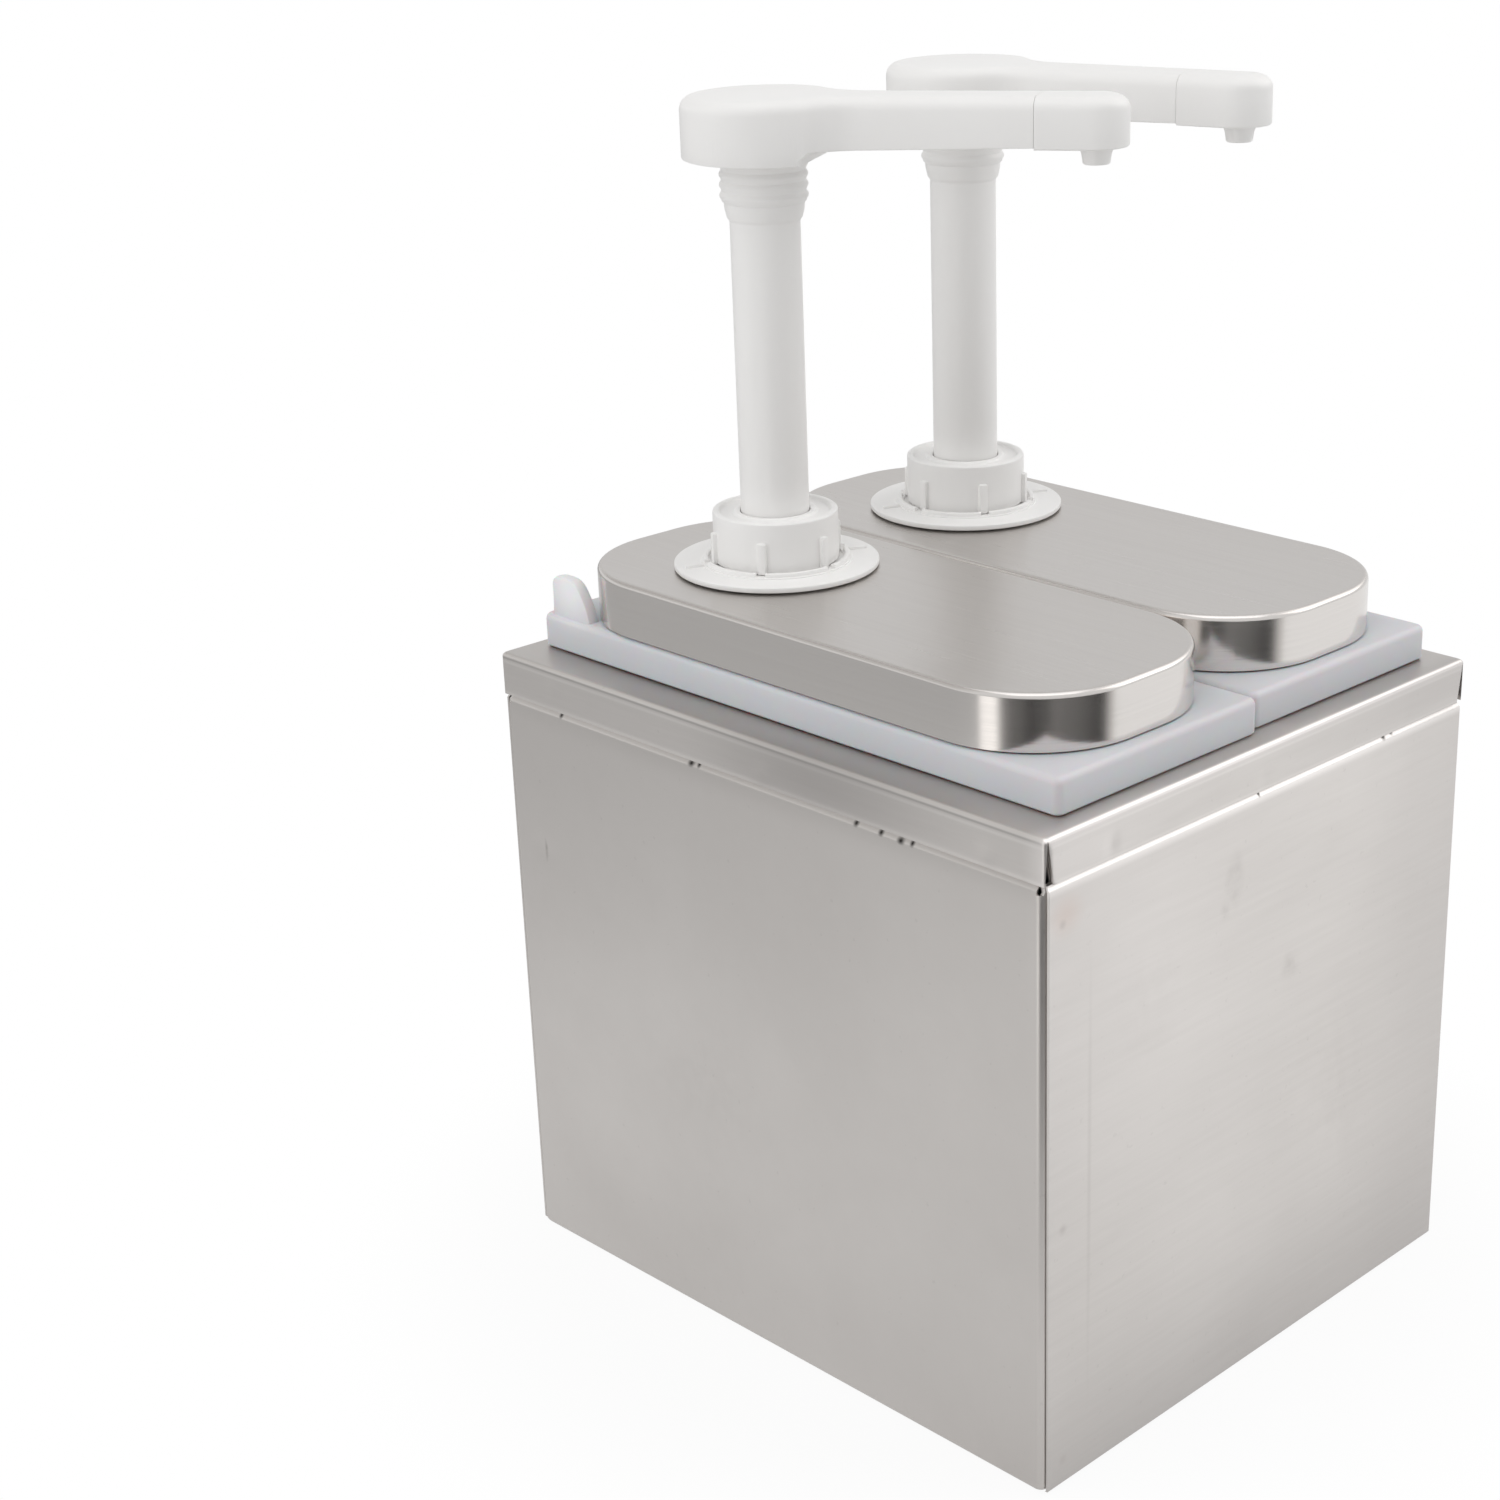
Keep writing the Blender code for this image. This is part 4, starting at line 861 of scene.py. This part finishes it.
def make_inner_parts(side, place, plain, seal, bright):
    """What is inside the tank and the barrel, seen when a cover is lifted."""

    def turned(name, profile, rounding, body, node, material=plain, slot="inner_plastic"):
        unit_piece(side, name, lathe(soften(profile, rounding)), body, node, material, slot, place)

    top = COVER_TOP - COVER_SHEET - GAP
    hole = LOWER_NECK + RUNNING_GAP
    gasket_foot = top - 0.0015
    gasket = [(hole, top), (hole, gasket_foot), (0.0255, gasket_foot), (0.0255, top)]
    turned("gasket", gasket, 0.0004, "cover_body", "flange_gasket", seal, "seal_rubber")
    nut_top = gasket_foot - GAP
    nut = soften([(hole, nut_top), (hole, nut_top - 0.0085), (0.024, nut_top - 0.0085), (0.024, nut_top)], 0.0006)
    lugs = round_axis(6, 0.021, 0.027, 0.006, nut_top - 0.0082, nut_top - GAP, 0.0, 0.0006)
    nut = combined(lathe(nut), ("UNION", lugs))
    unit_piece(side, "nut", nut, "cover_body", "lock_nut", plain, "pump_plastic", place)
    barrel = [
        (BARREL_BORE, BARREL_BOTTOM), (BARREL_RADIUS, BARREL_BOTTOM), (BARREL_RADIUS, BARREL_TOP - 0.0020),
        (UPPER_NECK, BARREL_TOP - 0.0020), (UPPER_NECK, BARREL_TOP), (BARREL_BORE, BARREL_TOP),
    ]
    turned("barrel", barrel, 0.0004, "cover_body", "cylinder")
    lip_top = BARREL_BOTTOM - GAP
    lip_bottom = lip_top - 0.0020
    chamber_top = FOOT_SEAT + CHAMBER_HEIGHT
    spigot = 0.0062
    foot = [
        (SEAT_BORE, lip_bottom - 0.011), (spigot, lip_bottom - 0.011), (spigot, lip_bottom),
        (BARREL_RADIUS, lip_bottom), (BARREL_RADIUS, lip_top), (BARREL_BORE - GAP, lip_top),
        (BARREL_BORE - GAP, FOOT_SHOULDER), (CHAMBER_RADIUS + 0.0015, FOOT_SHOULDER),
        (CHAMBER_RADIUS + 0.0015, chamber_top + 0.0013), (SEAT_BORE, chamber_top + 0.0013), (SEAT_BORE, chamber_top),
        (CHAMBER_RADIUS, chamber_top), (CHAMBER_RADIUS, FOOT_SEAT), (SEAT_BORE, FOOT_SEAT),
    ]
    turned("foot_plug", foot, 0.0003, "cover_body", "foot_valve")
    bore = spigot + GAP
    bottom = TANK_FOOT + TANK_WALL + 0.0070
    tube = [(bore, lip_bottom - GAP), (bore, bottom), (bore + 0.0015, bottom), (bore + 0.0015, lip_bottom - GAP)]
    turned("suction_tube", tube, 0.0004, "cover_body", "dip_tube")
    guide = BARREL_BORE - RUNNING_GAP
    groove = BARREL_BORE - 0.0024
    seal_top = PISTON_TOP - 0.0080
    seal_bottom = seal_top - 0.0060
    sleeve = TAIL_RADIUS + GAP
    piston = [
        (SEAT_BORE, PISTON_BOTTOM), (guide, PISTON_BOTTOM), (guide, seal_bottom - GAP), (groove, seal_bottom - GAP),
        (groove, seal_top + GAP), (guide, seal_top + GAP), (guide, PISTON_TOP), (sleeve, PISTON_TOP),
        (sleeve, TAIL_TOP - TAIL_LENGTH), (CHAMBER_RADIUS, TAIL_TOP - TAIL_LENGTH), (CHAMBER_RADIUS, PISTON_SEAT),
        (SEAT_BORE, PISTON_SEAT),
    ]
    turned("piston_body", piston, 0.0003, "plunger_body", "piston")
    inner, outer = groove + GAP, BARREL_BORE - GAP
    ring = [(inner, seal_top), (inner, seal_bottom), (outer, seal_bottom), (outer, seal_top)]
    turned("seal_ring", ring, 0.0006, "plunger_body", "piston_seal", seal, "seal_rubber")
    for name, seat in (("inlet_ball", FOOT_SEAT), ("outlet_ball", PISTON_SEAT)):
        ball = bmesh.new()
        bmesh.ops.create_icosphere(ball, subdivisions=4, radius=BALL_RADIUS)
        bmesh.ops.translate(ball, verts=ball.verts, vec=(0, 0, seat + SEAT_TO_CENTRE))
        steel = name.replace("_", "_steel_")
        unit_piece(side, steel, ball, f"{name}_body", name, bright, "spring_steel", place, 180)
    make_spring(side, place, bright)


def make_spring(side, place, material):
    """A wire helix as a swept tube, on a mesh of its own."""
    wire = 0.0010
    turns = 9
    start = FOOT_SHOULDER + GAP + wire
    end = PISTON_BOTTOM - GAP - wire
    radius = (CHAMBER_RADIUS + 0.0015 + BARREL_BORE) / 2
    rings = []
    for step in range(turns * 20 + 1):
        share = step / (turns * 20)
        angle = tau * turns * share
        out = Vector((cos(angle), sin(angle), 0))
        centre = out * radius + Vector((0, 0, start + (end - start) * share))
        ring = []
        for index in range(10):
            around = tau * index / 10
            ring.append(centre + wire * (out * cos(around) + Vector((0, 0, 1)) * sin(around)))
        rings.append(ring)
    coil = bridge(rings)
    spring = unit_piece(side, "coil", coil, "cover_body", "return_spring", material, "spring_steel", place, 60)
    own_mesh(spring)


def make_stem(side, place, material):
    tail_bottom = TAIL_TOP - TAIL_LENGTH + GAP
    ridge_top = HEAD_BOTTOM - GAP - SETTLE[side]
    pitch = 0.0032
    ridge_bottom = ridge_top - pitch * 4
    step_bottom = ridge_bottom - 0.0060
    tail_bore = SEAT_BORE + GAP
    profile = soften([
        (tail_bore, tail_bottom), (TAIL_RADIUS, tail_bottom), (TAIL_RADIUS, TAIL_TOP), (STEM_RADIUS, TAIL_TOP),
        (STEM_RADIUS, step_bottom), (0.0117, step_bottom + 0.0008), (0.0124, step_bottom + 0.0036),
        (0.0126, ridge_bottom),
    ], 0.0004)
    for ridge in range(4):
        foot = ridge_bottom + pitch * ridge
        for up, out in ((0.0, 0.0131), (0.2, 0.0133), (0.4, 0.0137), (0.55, 0.0138), (0.7, 0.0137), (0.88, 0.0133)):
            profile.append((out, foot + pitch * up))
    profile += [
        (0.0130, ridge_top), (0.0110, ridge_top), (0.0110, ridge_top + 0.0070), (STEM_BORE, ridge_top + 0.0070),
        (STEM_BORE, TAIL_TOP + STEM_RADIUS), (tail_bore, TAIL_TOP + STEM_RADIUS),
    ]
    unit_piece(side, "stem", lathe(profile), "head_body", "plunger_stem", material, "pump_plastic", place, 40)


def rise(bm):
    """The spout climbs gently from the head to the nozzle."""
    for vert in bm.verts:
        vert.co.z -= SPOUT_RISE * vert.co.y
    return bm


def head_ring(inset, height):
    """Plan of the drum and arm, drawn in by an inset, with the seam's end kept in place."""
    drum = HEAD_RADIUS - inset
    half = SPOUT_HALF - inset
    waist = SPOUT_WAIST + inset
    waist_x = half + waist
    waist_y = -sqrt((drum + waist) ** 2 - waist_x**2)
    meet = atan2(waist_y, waist_x)
    points = [(half, -SEAM), (half, -SEAM * 0.85), (half, -SEAM * 0.7)]
    for step in range(15):
        angle = pi + meet * step / 14
        points.append((waist_x + waist * cos(angle), waist_y + waist * sin(angle)))
    lead = len(points)
    sweep = pi - 2 * meet
    for step in range(1, 72):
        angle = meet + sweep * step / 72
        points.append((drum * cos(angle), drum * sin(angle)))
    points += [(-x, y) for x, y in reversed(points[:lead])]
    return [(x, y, height) for x, y in points]


def nose_ring(inset, height):
    half = SPOUT_HALF - inset
    start = SEAM + 0.00012
    points = [(half, -start), (0, -start), (-half, -start)]
    for step in range(33):
        angle = pi + pi * step / 32
        drawn = half - 0.35 * inset * max(0.0, -sin(angle))
        points.append((drawn * cos(angle), -SPOUT_REACH + drawn * sin(angle)))
    return [(x, y, height) for x, y in points]


def edged(ring, bottom, top, top_edge, foot_edge):
    """Rings of a plan shape with a rounded top and a slightly rounded foot."""
    steps = 7
    rings = []
    for step in range(4):
        angle = pi / 2 * step / 3
        rings.append(ring(foot_edge * (1 - sin(angle)), bottom + foot_edge * (1 - cos(angle))))
    for step in range(steps + 1):
        angle = pi / 2 * step / steps
        rings.append(ring(top_edge * (1 - cos(angle)), top - top_edge * (1 - sin(angle))))
    return rings


def bar(radius, start, end):
    """A round bar along the spout's channel."""
    bm = bmesh.new()
    place = Matrix.Translation((0, -(start + end) / 2, CHANNEL_Z)) @ Matrix.Rotation(pi / 2, 4, "X")
    sizes = {"radius1": radius, "radius2": radius, "depth": end - start}
    bmesh.ops.create_cone(bm, cap_ends=True, segments=SMALL_ROUND, matrix=place, **sizes)
    return rise(bm)


def make_head(side, swivel, material):
    swivel = Matrix.Translation((0, 0, -SETTLE[side])) @ swivel
    arm = bridge(edged(head_ring, HEAD_TOP - SPOUT_DEPTH, HEAD_TOP, 0.0042, 0.0005))
    for vert in arm.verts:
        low = min(1.0, max(0.0, (HEAD_TOP - 0.005 - vert.co.z) / (SPOUT_DEPTH - 0.005)))
        vert.co.z -= SPOUT_ROOT_DROP * low * min(1.0, max(0.0, 1 + vert.co.y / SEAM))
    rise(arm)
    drum_edge = 0.0006
    drum = [
        (0, HEAD_BOTTOM), (HEAD_RADIUS - drum_edge, HEAD_BOTTOM),
        (HEAD_RADIUS - drum_edge * 0.3, HEAD_BOTTOM + drum_edge * 0.3), (HEAD_RADIUS, HEAD_BOTTOM + drum_edge),
        (HEAD_RADIUS, HEAD_TOP - SPOUT_DEPTH * 0.45), (HEAD_RADIUS - 0.0060, HEAD_TOP - 0.0050),
        (0, HEAD_TOP - 0.0050),
    ]
    arm_bottom = HEAD_TOP - SPOUT_DEPTH - SPOUT_ROOT_DROP
    front = bmesh.new()
    for y, low, high in ((-0.0168, -0.001, -0.001), (-0.0205, 0.0001, 0.0022), (-0.0300, -0.001, 0.0022)):
        for x in (-0.03, 0.03):
            for z in (HEAD_BOTTOM + low, arm_bottom + high):
                front.verts.new((x, y, z))
    bmesh.ops.convex_hull(front, input=front.verts[:])
    socket = 0.0113
    socket_top = HEAD_BOTTOM + 0.0154
    hole = [(0, HEAD_BOTTOM - OVERRUN), (socket, HEAD_BOTTOM - OVERRUN), (socket, socket_top), (0, socket_top)]
    head = combined(
        arm,
        ("UNION", combined(lathe(drum, ROUND, False), ("DIFFERENCE", front))),
        ("UNION", bar(PLUG_RADIUS, SEAM - OVERRUN, SEAM + 0.0060)),
        ("DIFFERENCE", lathe(hole, 48, False)),
        ("DIFFERENCE", bar(CHANNEL_RADIUS, 0.006, SEAM + 0.012)),
    )
    unit_piece(side, "head", head, "head_body", "pump_head", material, "pump_plastic", swivel, 30)
    bottom = HEAD_TOP - SPOUT_DEPTH - 0.0006
    nose = rise(bridge(edged(nose_ring, bottom, HEAD_TOP, 0.0042, 0.0008)))
    reach = (0, -SPOUT_REACH)
    nozzle = [
        (0, bottom - NOZZLE), (0.0038, bottom - NOZZLE), (0.0042, bottom - NOZZLE + 0.0004),
        (0.0046, bottom - 0.0020), (0.0050, bottom - 0.0010), (0.0052, bottom + 0.0002), (0.0052, bottom + 0.003),
        (0, bottom + 0.003),
    ]
    outlet = [(0, bottom - 0.010), (0.0026, bottom - 0.010), (0.0026, CHANNEL_Z), (0, CHANNEL_Z)]
    nose = combined(
        nose,
        ("UNION", rise(lathe(nozzle, SMALL_ROUND, False, reach))),
        ("DIFFERENCE", bar(PLUG_RADIUS + GAP, SEAM - OVERRUN, SEAM + 0.0063)),
        ("DIFFERENCE", bar(CHANNEL_RADIUS, SEAM, SPOUT_REACH + 0.0026)),
        ("DIFFERENCE", rise(lathe(outlet, SMALL_ROUND, False, reach))),
    )
    unit_piece(side, "nose", nose, "head_body", "spout_nose", material, "pump_plastic", swivel, 30)


# Studio

LAMP_AIM = 0.25
WORLD_FILL = 0.33
WORLD_REFLECTED = 0.80
FLOOR_REFLECTED = 0.75
FLOOR_SIZE = 30
FLOOR_DROP = 0.0002
CARD_COLUMNS = 32


def add_camera():
    """The photograph's viewpoint, from a camera fitted to the box's corners and the rims."""
    azimuth = radians(-47.3847)
    elevation = radians(20.6726)
    roll = radians(-0.2589)
    back = Vector((
        sin(azimuth) * cos(elevation),
        -cos(azimuth) * cos(elevation),
        sin(elevation),
    ))
    camera = bpy.data.objects.new("camera", bpy.data.cameras.new("camera"))
    turn = back.to_track_quat("Z", "Y").to_matrix().to_4x4() @ Matrix.Rotation(roll, 4, "Z")
    place = Matrix.Translation((-0.606463, -0.567372, 0.497350))
    camera.matrix_world = place @ turn
    camera.data.sensor_width = 36
    camera.data.lens = 64.3815
    camera.data.shift_x = -0.16756
    camera.data.shift_y = -0.00603
    camera.data.clip_start = 0.01
    bpy.context.scene.collection.objects.link(camera)
    bpy.context.scene.camera = camera


def add_lamp(name, azimuth, elevation, distance, size, energy, glossy=False):
    """A soft square lamp that faces the object. Azimuth is from +X towards +Y."""
    turn, lift = radians(azimuth), radians(elevation)
    out = Vector((cos(turn) * cos(lift), sin(turn) * cos(lift), sin(lift)))
    lamp = bpy.data.objects.new(name, bpy.data.lights.new(name, "AREA"))
    lamp.data.size = size
    lamp.data.energy = energy
    lamp.visible_camera = False
    lamp.visible_glossy = glossy
    lamp.location = Vector((0, 0, LAMP_AIM)) + out * distance
    lamp.rotation_euler = out.to_track_quat("Z", "Y").to_euler()
    bpy.context.scene.collection.objects.link(lamp)


def add_world():
    """A white surround for the camera and glass, a paler one in reflections, and a soft fill for everything else."""
    world = bpy.data.worlds.new("studio")
    bpy.context.scene.world = world
    world.use_nodes = True
    nodes = Nodes(world.node_tree)
    background = nodes.tree.nodes["Background"]
    background.inputs["Color"].default_value = (1, 1, 1, 1)
    rays = nodes.add("LightPath").outputs
    shown = nodes.math("MAXIMUM", rays["Is Camera Ray"], rays["Is Transmission Ray"])
    glossy = nodes.math("MULTIPLY", rays["Is Glossy Ray"], WORLD_REFLECTED)
    strength = nodes.math("MAXIMUM", nodes.math("MAXIMUM", shown, glossy), WORLD_FILL)
    nodes.join(strength, background.inputs["Strength"])


def add_floor():
    """A pale floor that shows white to the camera and keeps the object's shadow."""
    bm = bmesh.new()
    bmesh.ops.create_grid(bm, x_segments=1, y_segments=1, size=FLOOR_SIZE)
    floor = as_object("floor", bm)
    floor.location.z = -FLOOR_DROP
    finish = Finish("floor", (0.86, 0.86, 0.86), 0.9, Specular_IOR_Level=0.0)
    glow = finish.add("Emission")
    glow.inputs["Color"].default_value = (1, 1, 1, 1)
    rays = finish.add("LightPath").outputs
    x, y = finish.axis("X"), finish.axis("Y")
    rear_left = finish.math("MULTIPLY", finish.math("SUBTRACT", y, x), sqrt(0.5))
    stops = (
        (0.0, 1.0), (0.30, 0.98), (0.44, 0.86), (0.56, 0.66), (0.67, 0.72), (0.76, 0.62), (0.86, 0.44), (1.0, 0.40),
    )
    seen = rays["Is Glossy Ray"]
    reflected = finish.ramp(finish.ranged(rear_left, -0.8, 0.8, 0, 1), stops)
    finish.join(finish.math("MAXIMUM", reflected, finish.math("SUBTRACT", 1.0, seen)), glow.inputs["Strength"])
    mix = finish.add("MixShader")
    away = finish.add("VectorMath", operation="LENGTH")
    finish.join(finish.position, away.inputs[0])
    bright = finish.ranged(away.outputs["Value"], 0.13, 0.24, 0.92, 1.0, smooth=True)
    shown = finish.math("MULTIPLY", rays["Is Camera Ray"], bright)
    glossy = finish.math("MULTIPLY", seen, FLOOR_REFLECTED)
    lit = finish.math("MAXIMUM", finish.math("MAXIMUM", shown, glossy), rays["Is Transmission Ray"])
    finish.join(lit, mix.inputs["Fac"])
    finish.join(finish.shader.outputs["BSDF"], mix.inputs[1])
    finish.join(glow.outputs["Emission"], mix.inputs[2])
    output = finish.tree.nodes["Material Output"]
    finish.join(mix.outputs["Shader"], output.inputs["Surface"])
    floor.data.materials.append(finish.material)


def add_card(name, radius, start, end, low, high, stops):
    """A curved card about the Z axis that only reflections see. stops gives (azimuth, brightness) pairs."""
    bm = bmesh.new()
    columns = []
    for step in range(CARD_COLUMNS + 1):
        angle = radians(start + (end - start) * step / CARD_COLUMNS)
        columns.append([bm.verts.new((radius * cos(angle), radius * sin(angle), z)) for z in (low, high)])
    for left, right in zip(columns, columns[1:]):
        bm.faces.new((left[0], right[0], right[1], left[1]))
    card = as_object(name, bm)
    finish = Finish(name, (0, 0, 0), 1.0, Specular_IOR_Level=0.0, Emission_Color=(1.0, 0.985, 0.97, 1))
    around = finish.math("ARCTAN2", finish.axis("Y"), finish.axis("X"))
    share = finish.ranged(around, radians(start), radians(end), 0, 1)
    grain = finish.noise((60, 60, 2), detail=3)
    share = finish.math("ADD", share, finish.vary(grain, -0.012, 0.012))
    glow = finish.ramp(share, [((azimuth - start) / (end - start), level) for azimuth, level in stops])
    card.data.materials.append(finish.use(Emission_Strength=glow))
    for rays in ("camera", "diffuse", "transmission", "shadow", "volume_scatter"):
        setattr(card, f"visible_{rays}", False)


def on_front(x, z, wide, high, *rest):
    """A spot on the front skin: its centre and radii, then its strength and, for a tint, its colour."""
    return ((x, -CASE_DEPTH / 2, z), (wide, SKIN, high), *rest)


def on_wall(y, z, wide, high, *rest):
    """The same on the left wall."""
    return ((-CASE_WIDTH / 2, y, z), (SKIN, wide, high), *rest)


SKIN = 0.01
BLACK = (0.03, 0.027, 0.025)
# Colour of painted highlights on the front panel and the band.
PAINTED_HIGHLIGHT = (1.0, 0.965, 0.945)
BURNT = (0.50, 0.46, 0.44)
SHADED = (0.42, 0.40, 0.39)
WALL_SHADE = (0.45, 0.42, 0.40)
SMUDGES = (
    on_front(-0.0172, 0.1746, 0.006, 0.012, 0.32),
    on_front(-0.0217, 0.1663, 0.0035, 0.005, 0.26),
    on_front(0.0123, 0.1361, 0.007, 0.007, 0.22),
    on_front(-0.0560, 0.1500, 0.0200, 0.0300, 0.07),
    on_front(0.0400, 0.0800, 0.0300, 0.0500, 0.06),
)
# The first mark is painted shade in the left wall's dent, the second a faint darker patch.
WALL_DENT_SHADE_AND_SMUDGE = (on_wall(0.1030, 0.1480, 0.0012, 0.0055, 0.55), on_wall(0.0300, 0.0900, 0.0500, 0.0350, 0.05))
WALL_SPECKS = (
    (0.0270, 0.1986, 0.0021), (0.0235, 0.1990, 0.0012), (-0.0456, 0.1986, 0.0016), (-0.0559, 0.1985, 0.0016),
    (-0.0640, 0.1982, 0.0022), (-0.0685, 0.1986, 0.0013), (0.0905, 0.1988, 0.0013),
)
FRONT_SPECKS = ((0.0586, 0.1990, 0.0017), (0.0630, 0.1994, 0.0015), (-0.0060, 0.1990, 0.0010))
# Painted shade under the band's shoulder and towards the lower front corner, then dark specks below the band.
WALL_SHADE_AND_SPECKS = (
    on_wall(0.0000, 0.1990, 0.2400, 0.0100, 0.16, WALL_SHADE),
    on_wall(-0.1200, -0.0100, 0.1500, 0.0800, 0.40, WALL_SHADE),
    *[on_wall(y, z, wide, 0.0016, 1.0, BLACK) for y, z, wide in WALL_SPECKS],
)
FRONT_LIGHT_SHADE_AND_MARKS = (
    # Painted highlights under the band and over the upper left, painted shade towards the bottom and the right end;
    # then weld tints, a darker line and specks.
    on_front(0.0, 0.1982, 1.0, 0.0030, 1.0, PAINTED_HIGHLIGHT),
    on_front(-0.0900, 0.1900, 0.1100, 0.1300, 0.35, PAINTED_HIGHLIGHT),
    on_front(0.0, -0.0200, 0.40, 0.0900, 0.55, (0.40, 0.38, 0.37)),
    on_front(0.1100, 0.1200, 0.0900, 0.2500, 0.35, SHADED),
    on_front(-0.0940, 0.1890, 0.010, 0.009, 0.40, (0.80, 0.66, 0.60)),
    on_front(-0.0953, 0.1864, 0.0022, 0.0022, 0.35, BURNT),
    on_front(-0.0947, 0.0889, 0.0026, 0.0026, 0.35, BURNT),
    on_front(-0.0942, 0.0091, 0.0026, 0.0026, 0.30, BURNT),
    on_front(-0.0832, 0.1000, 0.0014, 0.0950, 0.22, (0.52, 0.49, 0.47)),
    *[on_front(x, z, wide, 0.0015, 1.0, BLACK) for x, z, wide in FRONT_SPECKS],
)
BAND_HIGHLIGHTS_AND_SHADE = (
    # Painted shade and highlights along the band's top bend and lower edge, a painted highlight on its front top edge,
    # painted light and shade on its front, and a darker streak on its left side.
    ((0.0, 0.0, 0.2124), (1.0, 1.0, 0.0006), 0.45, (0.33, 0.31, 0.30)),
    ((0.0, 0.0, 0.2111), (1.0, 1.0, 0.0009), 0.45, (0.93, 0.90, 0.88)),
    ((0.0, 0.0, 0.2003), (1.0, 1.0, 0.0008), 0.35, (0.90, 0.86, 0.83)),
    ((0.0, -0.1200, 0.2130), (1.0, 0.0030, 0.0016), 1.0, (1.0, 0.96, 0.94)),
    on_front(-0.1050, 0.2070, 0.0900, 0.0200, 0.50, PAINTED_HIGHLIGHT),
    on_front(0.1100, 0.2070, 0.1500, 0.0200, 0.50, SHADED),
    on_wall(-0.0300, 0.2070, 0.0700, 0.0200, 0.50, (0.38, 0.36, 0.35)),
)
SKIRT_CARD = (
    (-173, 0.70), (-170.5, 1.25), (-160, 1.35), (-156.5, 0.30), (-151, 0.16), (-143, 0.12), (-137, 0.06), (-128, 0.10),
    (-122, 0.18), (-107, 0.14), (-99, 0.10), (-91, 0.06), (-86.5, 0.12), (-81.5, 0.60), (-77.5, 0.78),
)


def main():
    scene = bpy.context.scene
    scene.view_settings.view_transform = "Standard"
    add_camera()
    add_world()
    add_floor()
    add_card("skirt_card", 0.36, -173, -77.5, 0.0, 0.22, SKIRT_CARD)
    add_card("left_card", 1.50, 70, 165, 0.80, 2.70, ((70, 0.75), (88, 0.60), (140, 0.60), (165, 0.70)))
    add_card("right_card", 1.50, -65, 10, 0.70, 2.30, ((-65, 1.10), (-50, 1.80), (-8, 1.80), (10, 1.00)))
    add_lamp("left_rear", 165, 35, 3.0, 4.6, 62)
    add_lamp("right_front", -35, 35, 3.0, 3.2, 44)
    add_lamp("overhead", -125, 77, 2.0, 1.8, 8, True)

    wall = case_steel("wrap_steel", (500, 24, 24), WALL_DENT_SHADE_AND_SMUDGE, WALL_SHADE_AND_SPECKS)
    front = case_steel("front_steel", (24, 24, 500), SMUDGES, FRONT_LIGHT_SHADE_AND_MARKS)
    rear = case_steel("rear_steel", (24, 24, 500))
    band = case_steel("frame_steel", (30, 30, 500), tints_and_painted_light=BAND_HIGHLIGHTS_AND_SHADE, ledge_shade=0.38)
    shell = cover_steel()
    pump = plastic("pump_plastic", (0.925, 0.916, 0.905), (0.905, 0.896, 0.882), 0.36)
    thin = (0.03, 0.022, 0.016)
    # Painted light on the tanks' tabs, as if lit through the thin plastic.
    lit_tabs = [((UNIT_X[side] + SIGN[side] * 0.0440, UNIT_Y[side] + 0.1000, 0.2350), thin) for side in UNIT_X]
    inner = plastic("inner_plastic", (0.84, 0.84, 0.82), (0.81, 0.81, 0.79), 0.42)
    tank = plastic(
        "tank_plastic", (0.675, 0.685, 0.715), (0.645, 0.655, 0.685), 0.40, lit_through=lit_tabs,
        Subsurface_Weight=0.5, Subsurface_Scale=0.006,
    )
    seal = rubber()
    bright = bright_steel()

    make_wrap(wall)
    make_panel("front_sheet", -1, "front_panel", front)
    make_panel("rear_sheet", 1, "rear_panel", rear)
    make_top_frame(band)
    for side in UNIT_X:
        axis = (UNIT_X[side] + PUMP_OFFSET[0], UNIT_Y[side] + PUMP_OFFSET[1], 0)
        place = Matrix.Translation(axis)
        swivel = place @ Matrix.Rotation(YAW[side], 4, "Z")
        make_tank(side, tank)
        make_cover(side, shell)
        make_flange(side, place, pump)
        make_collar(side, place, pump)
        make_inner_parts(side, place, inner, seal, bright)
        make_stem(side, swivel, pump)
        make_head(side, swivel, pump)

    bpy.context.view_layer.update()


main()
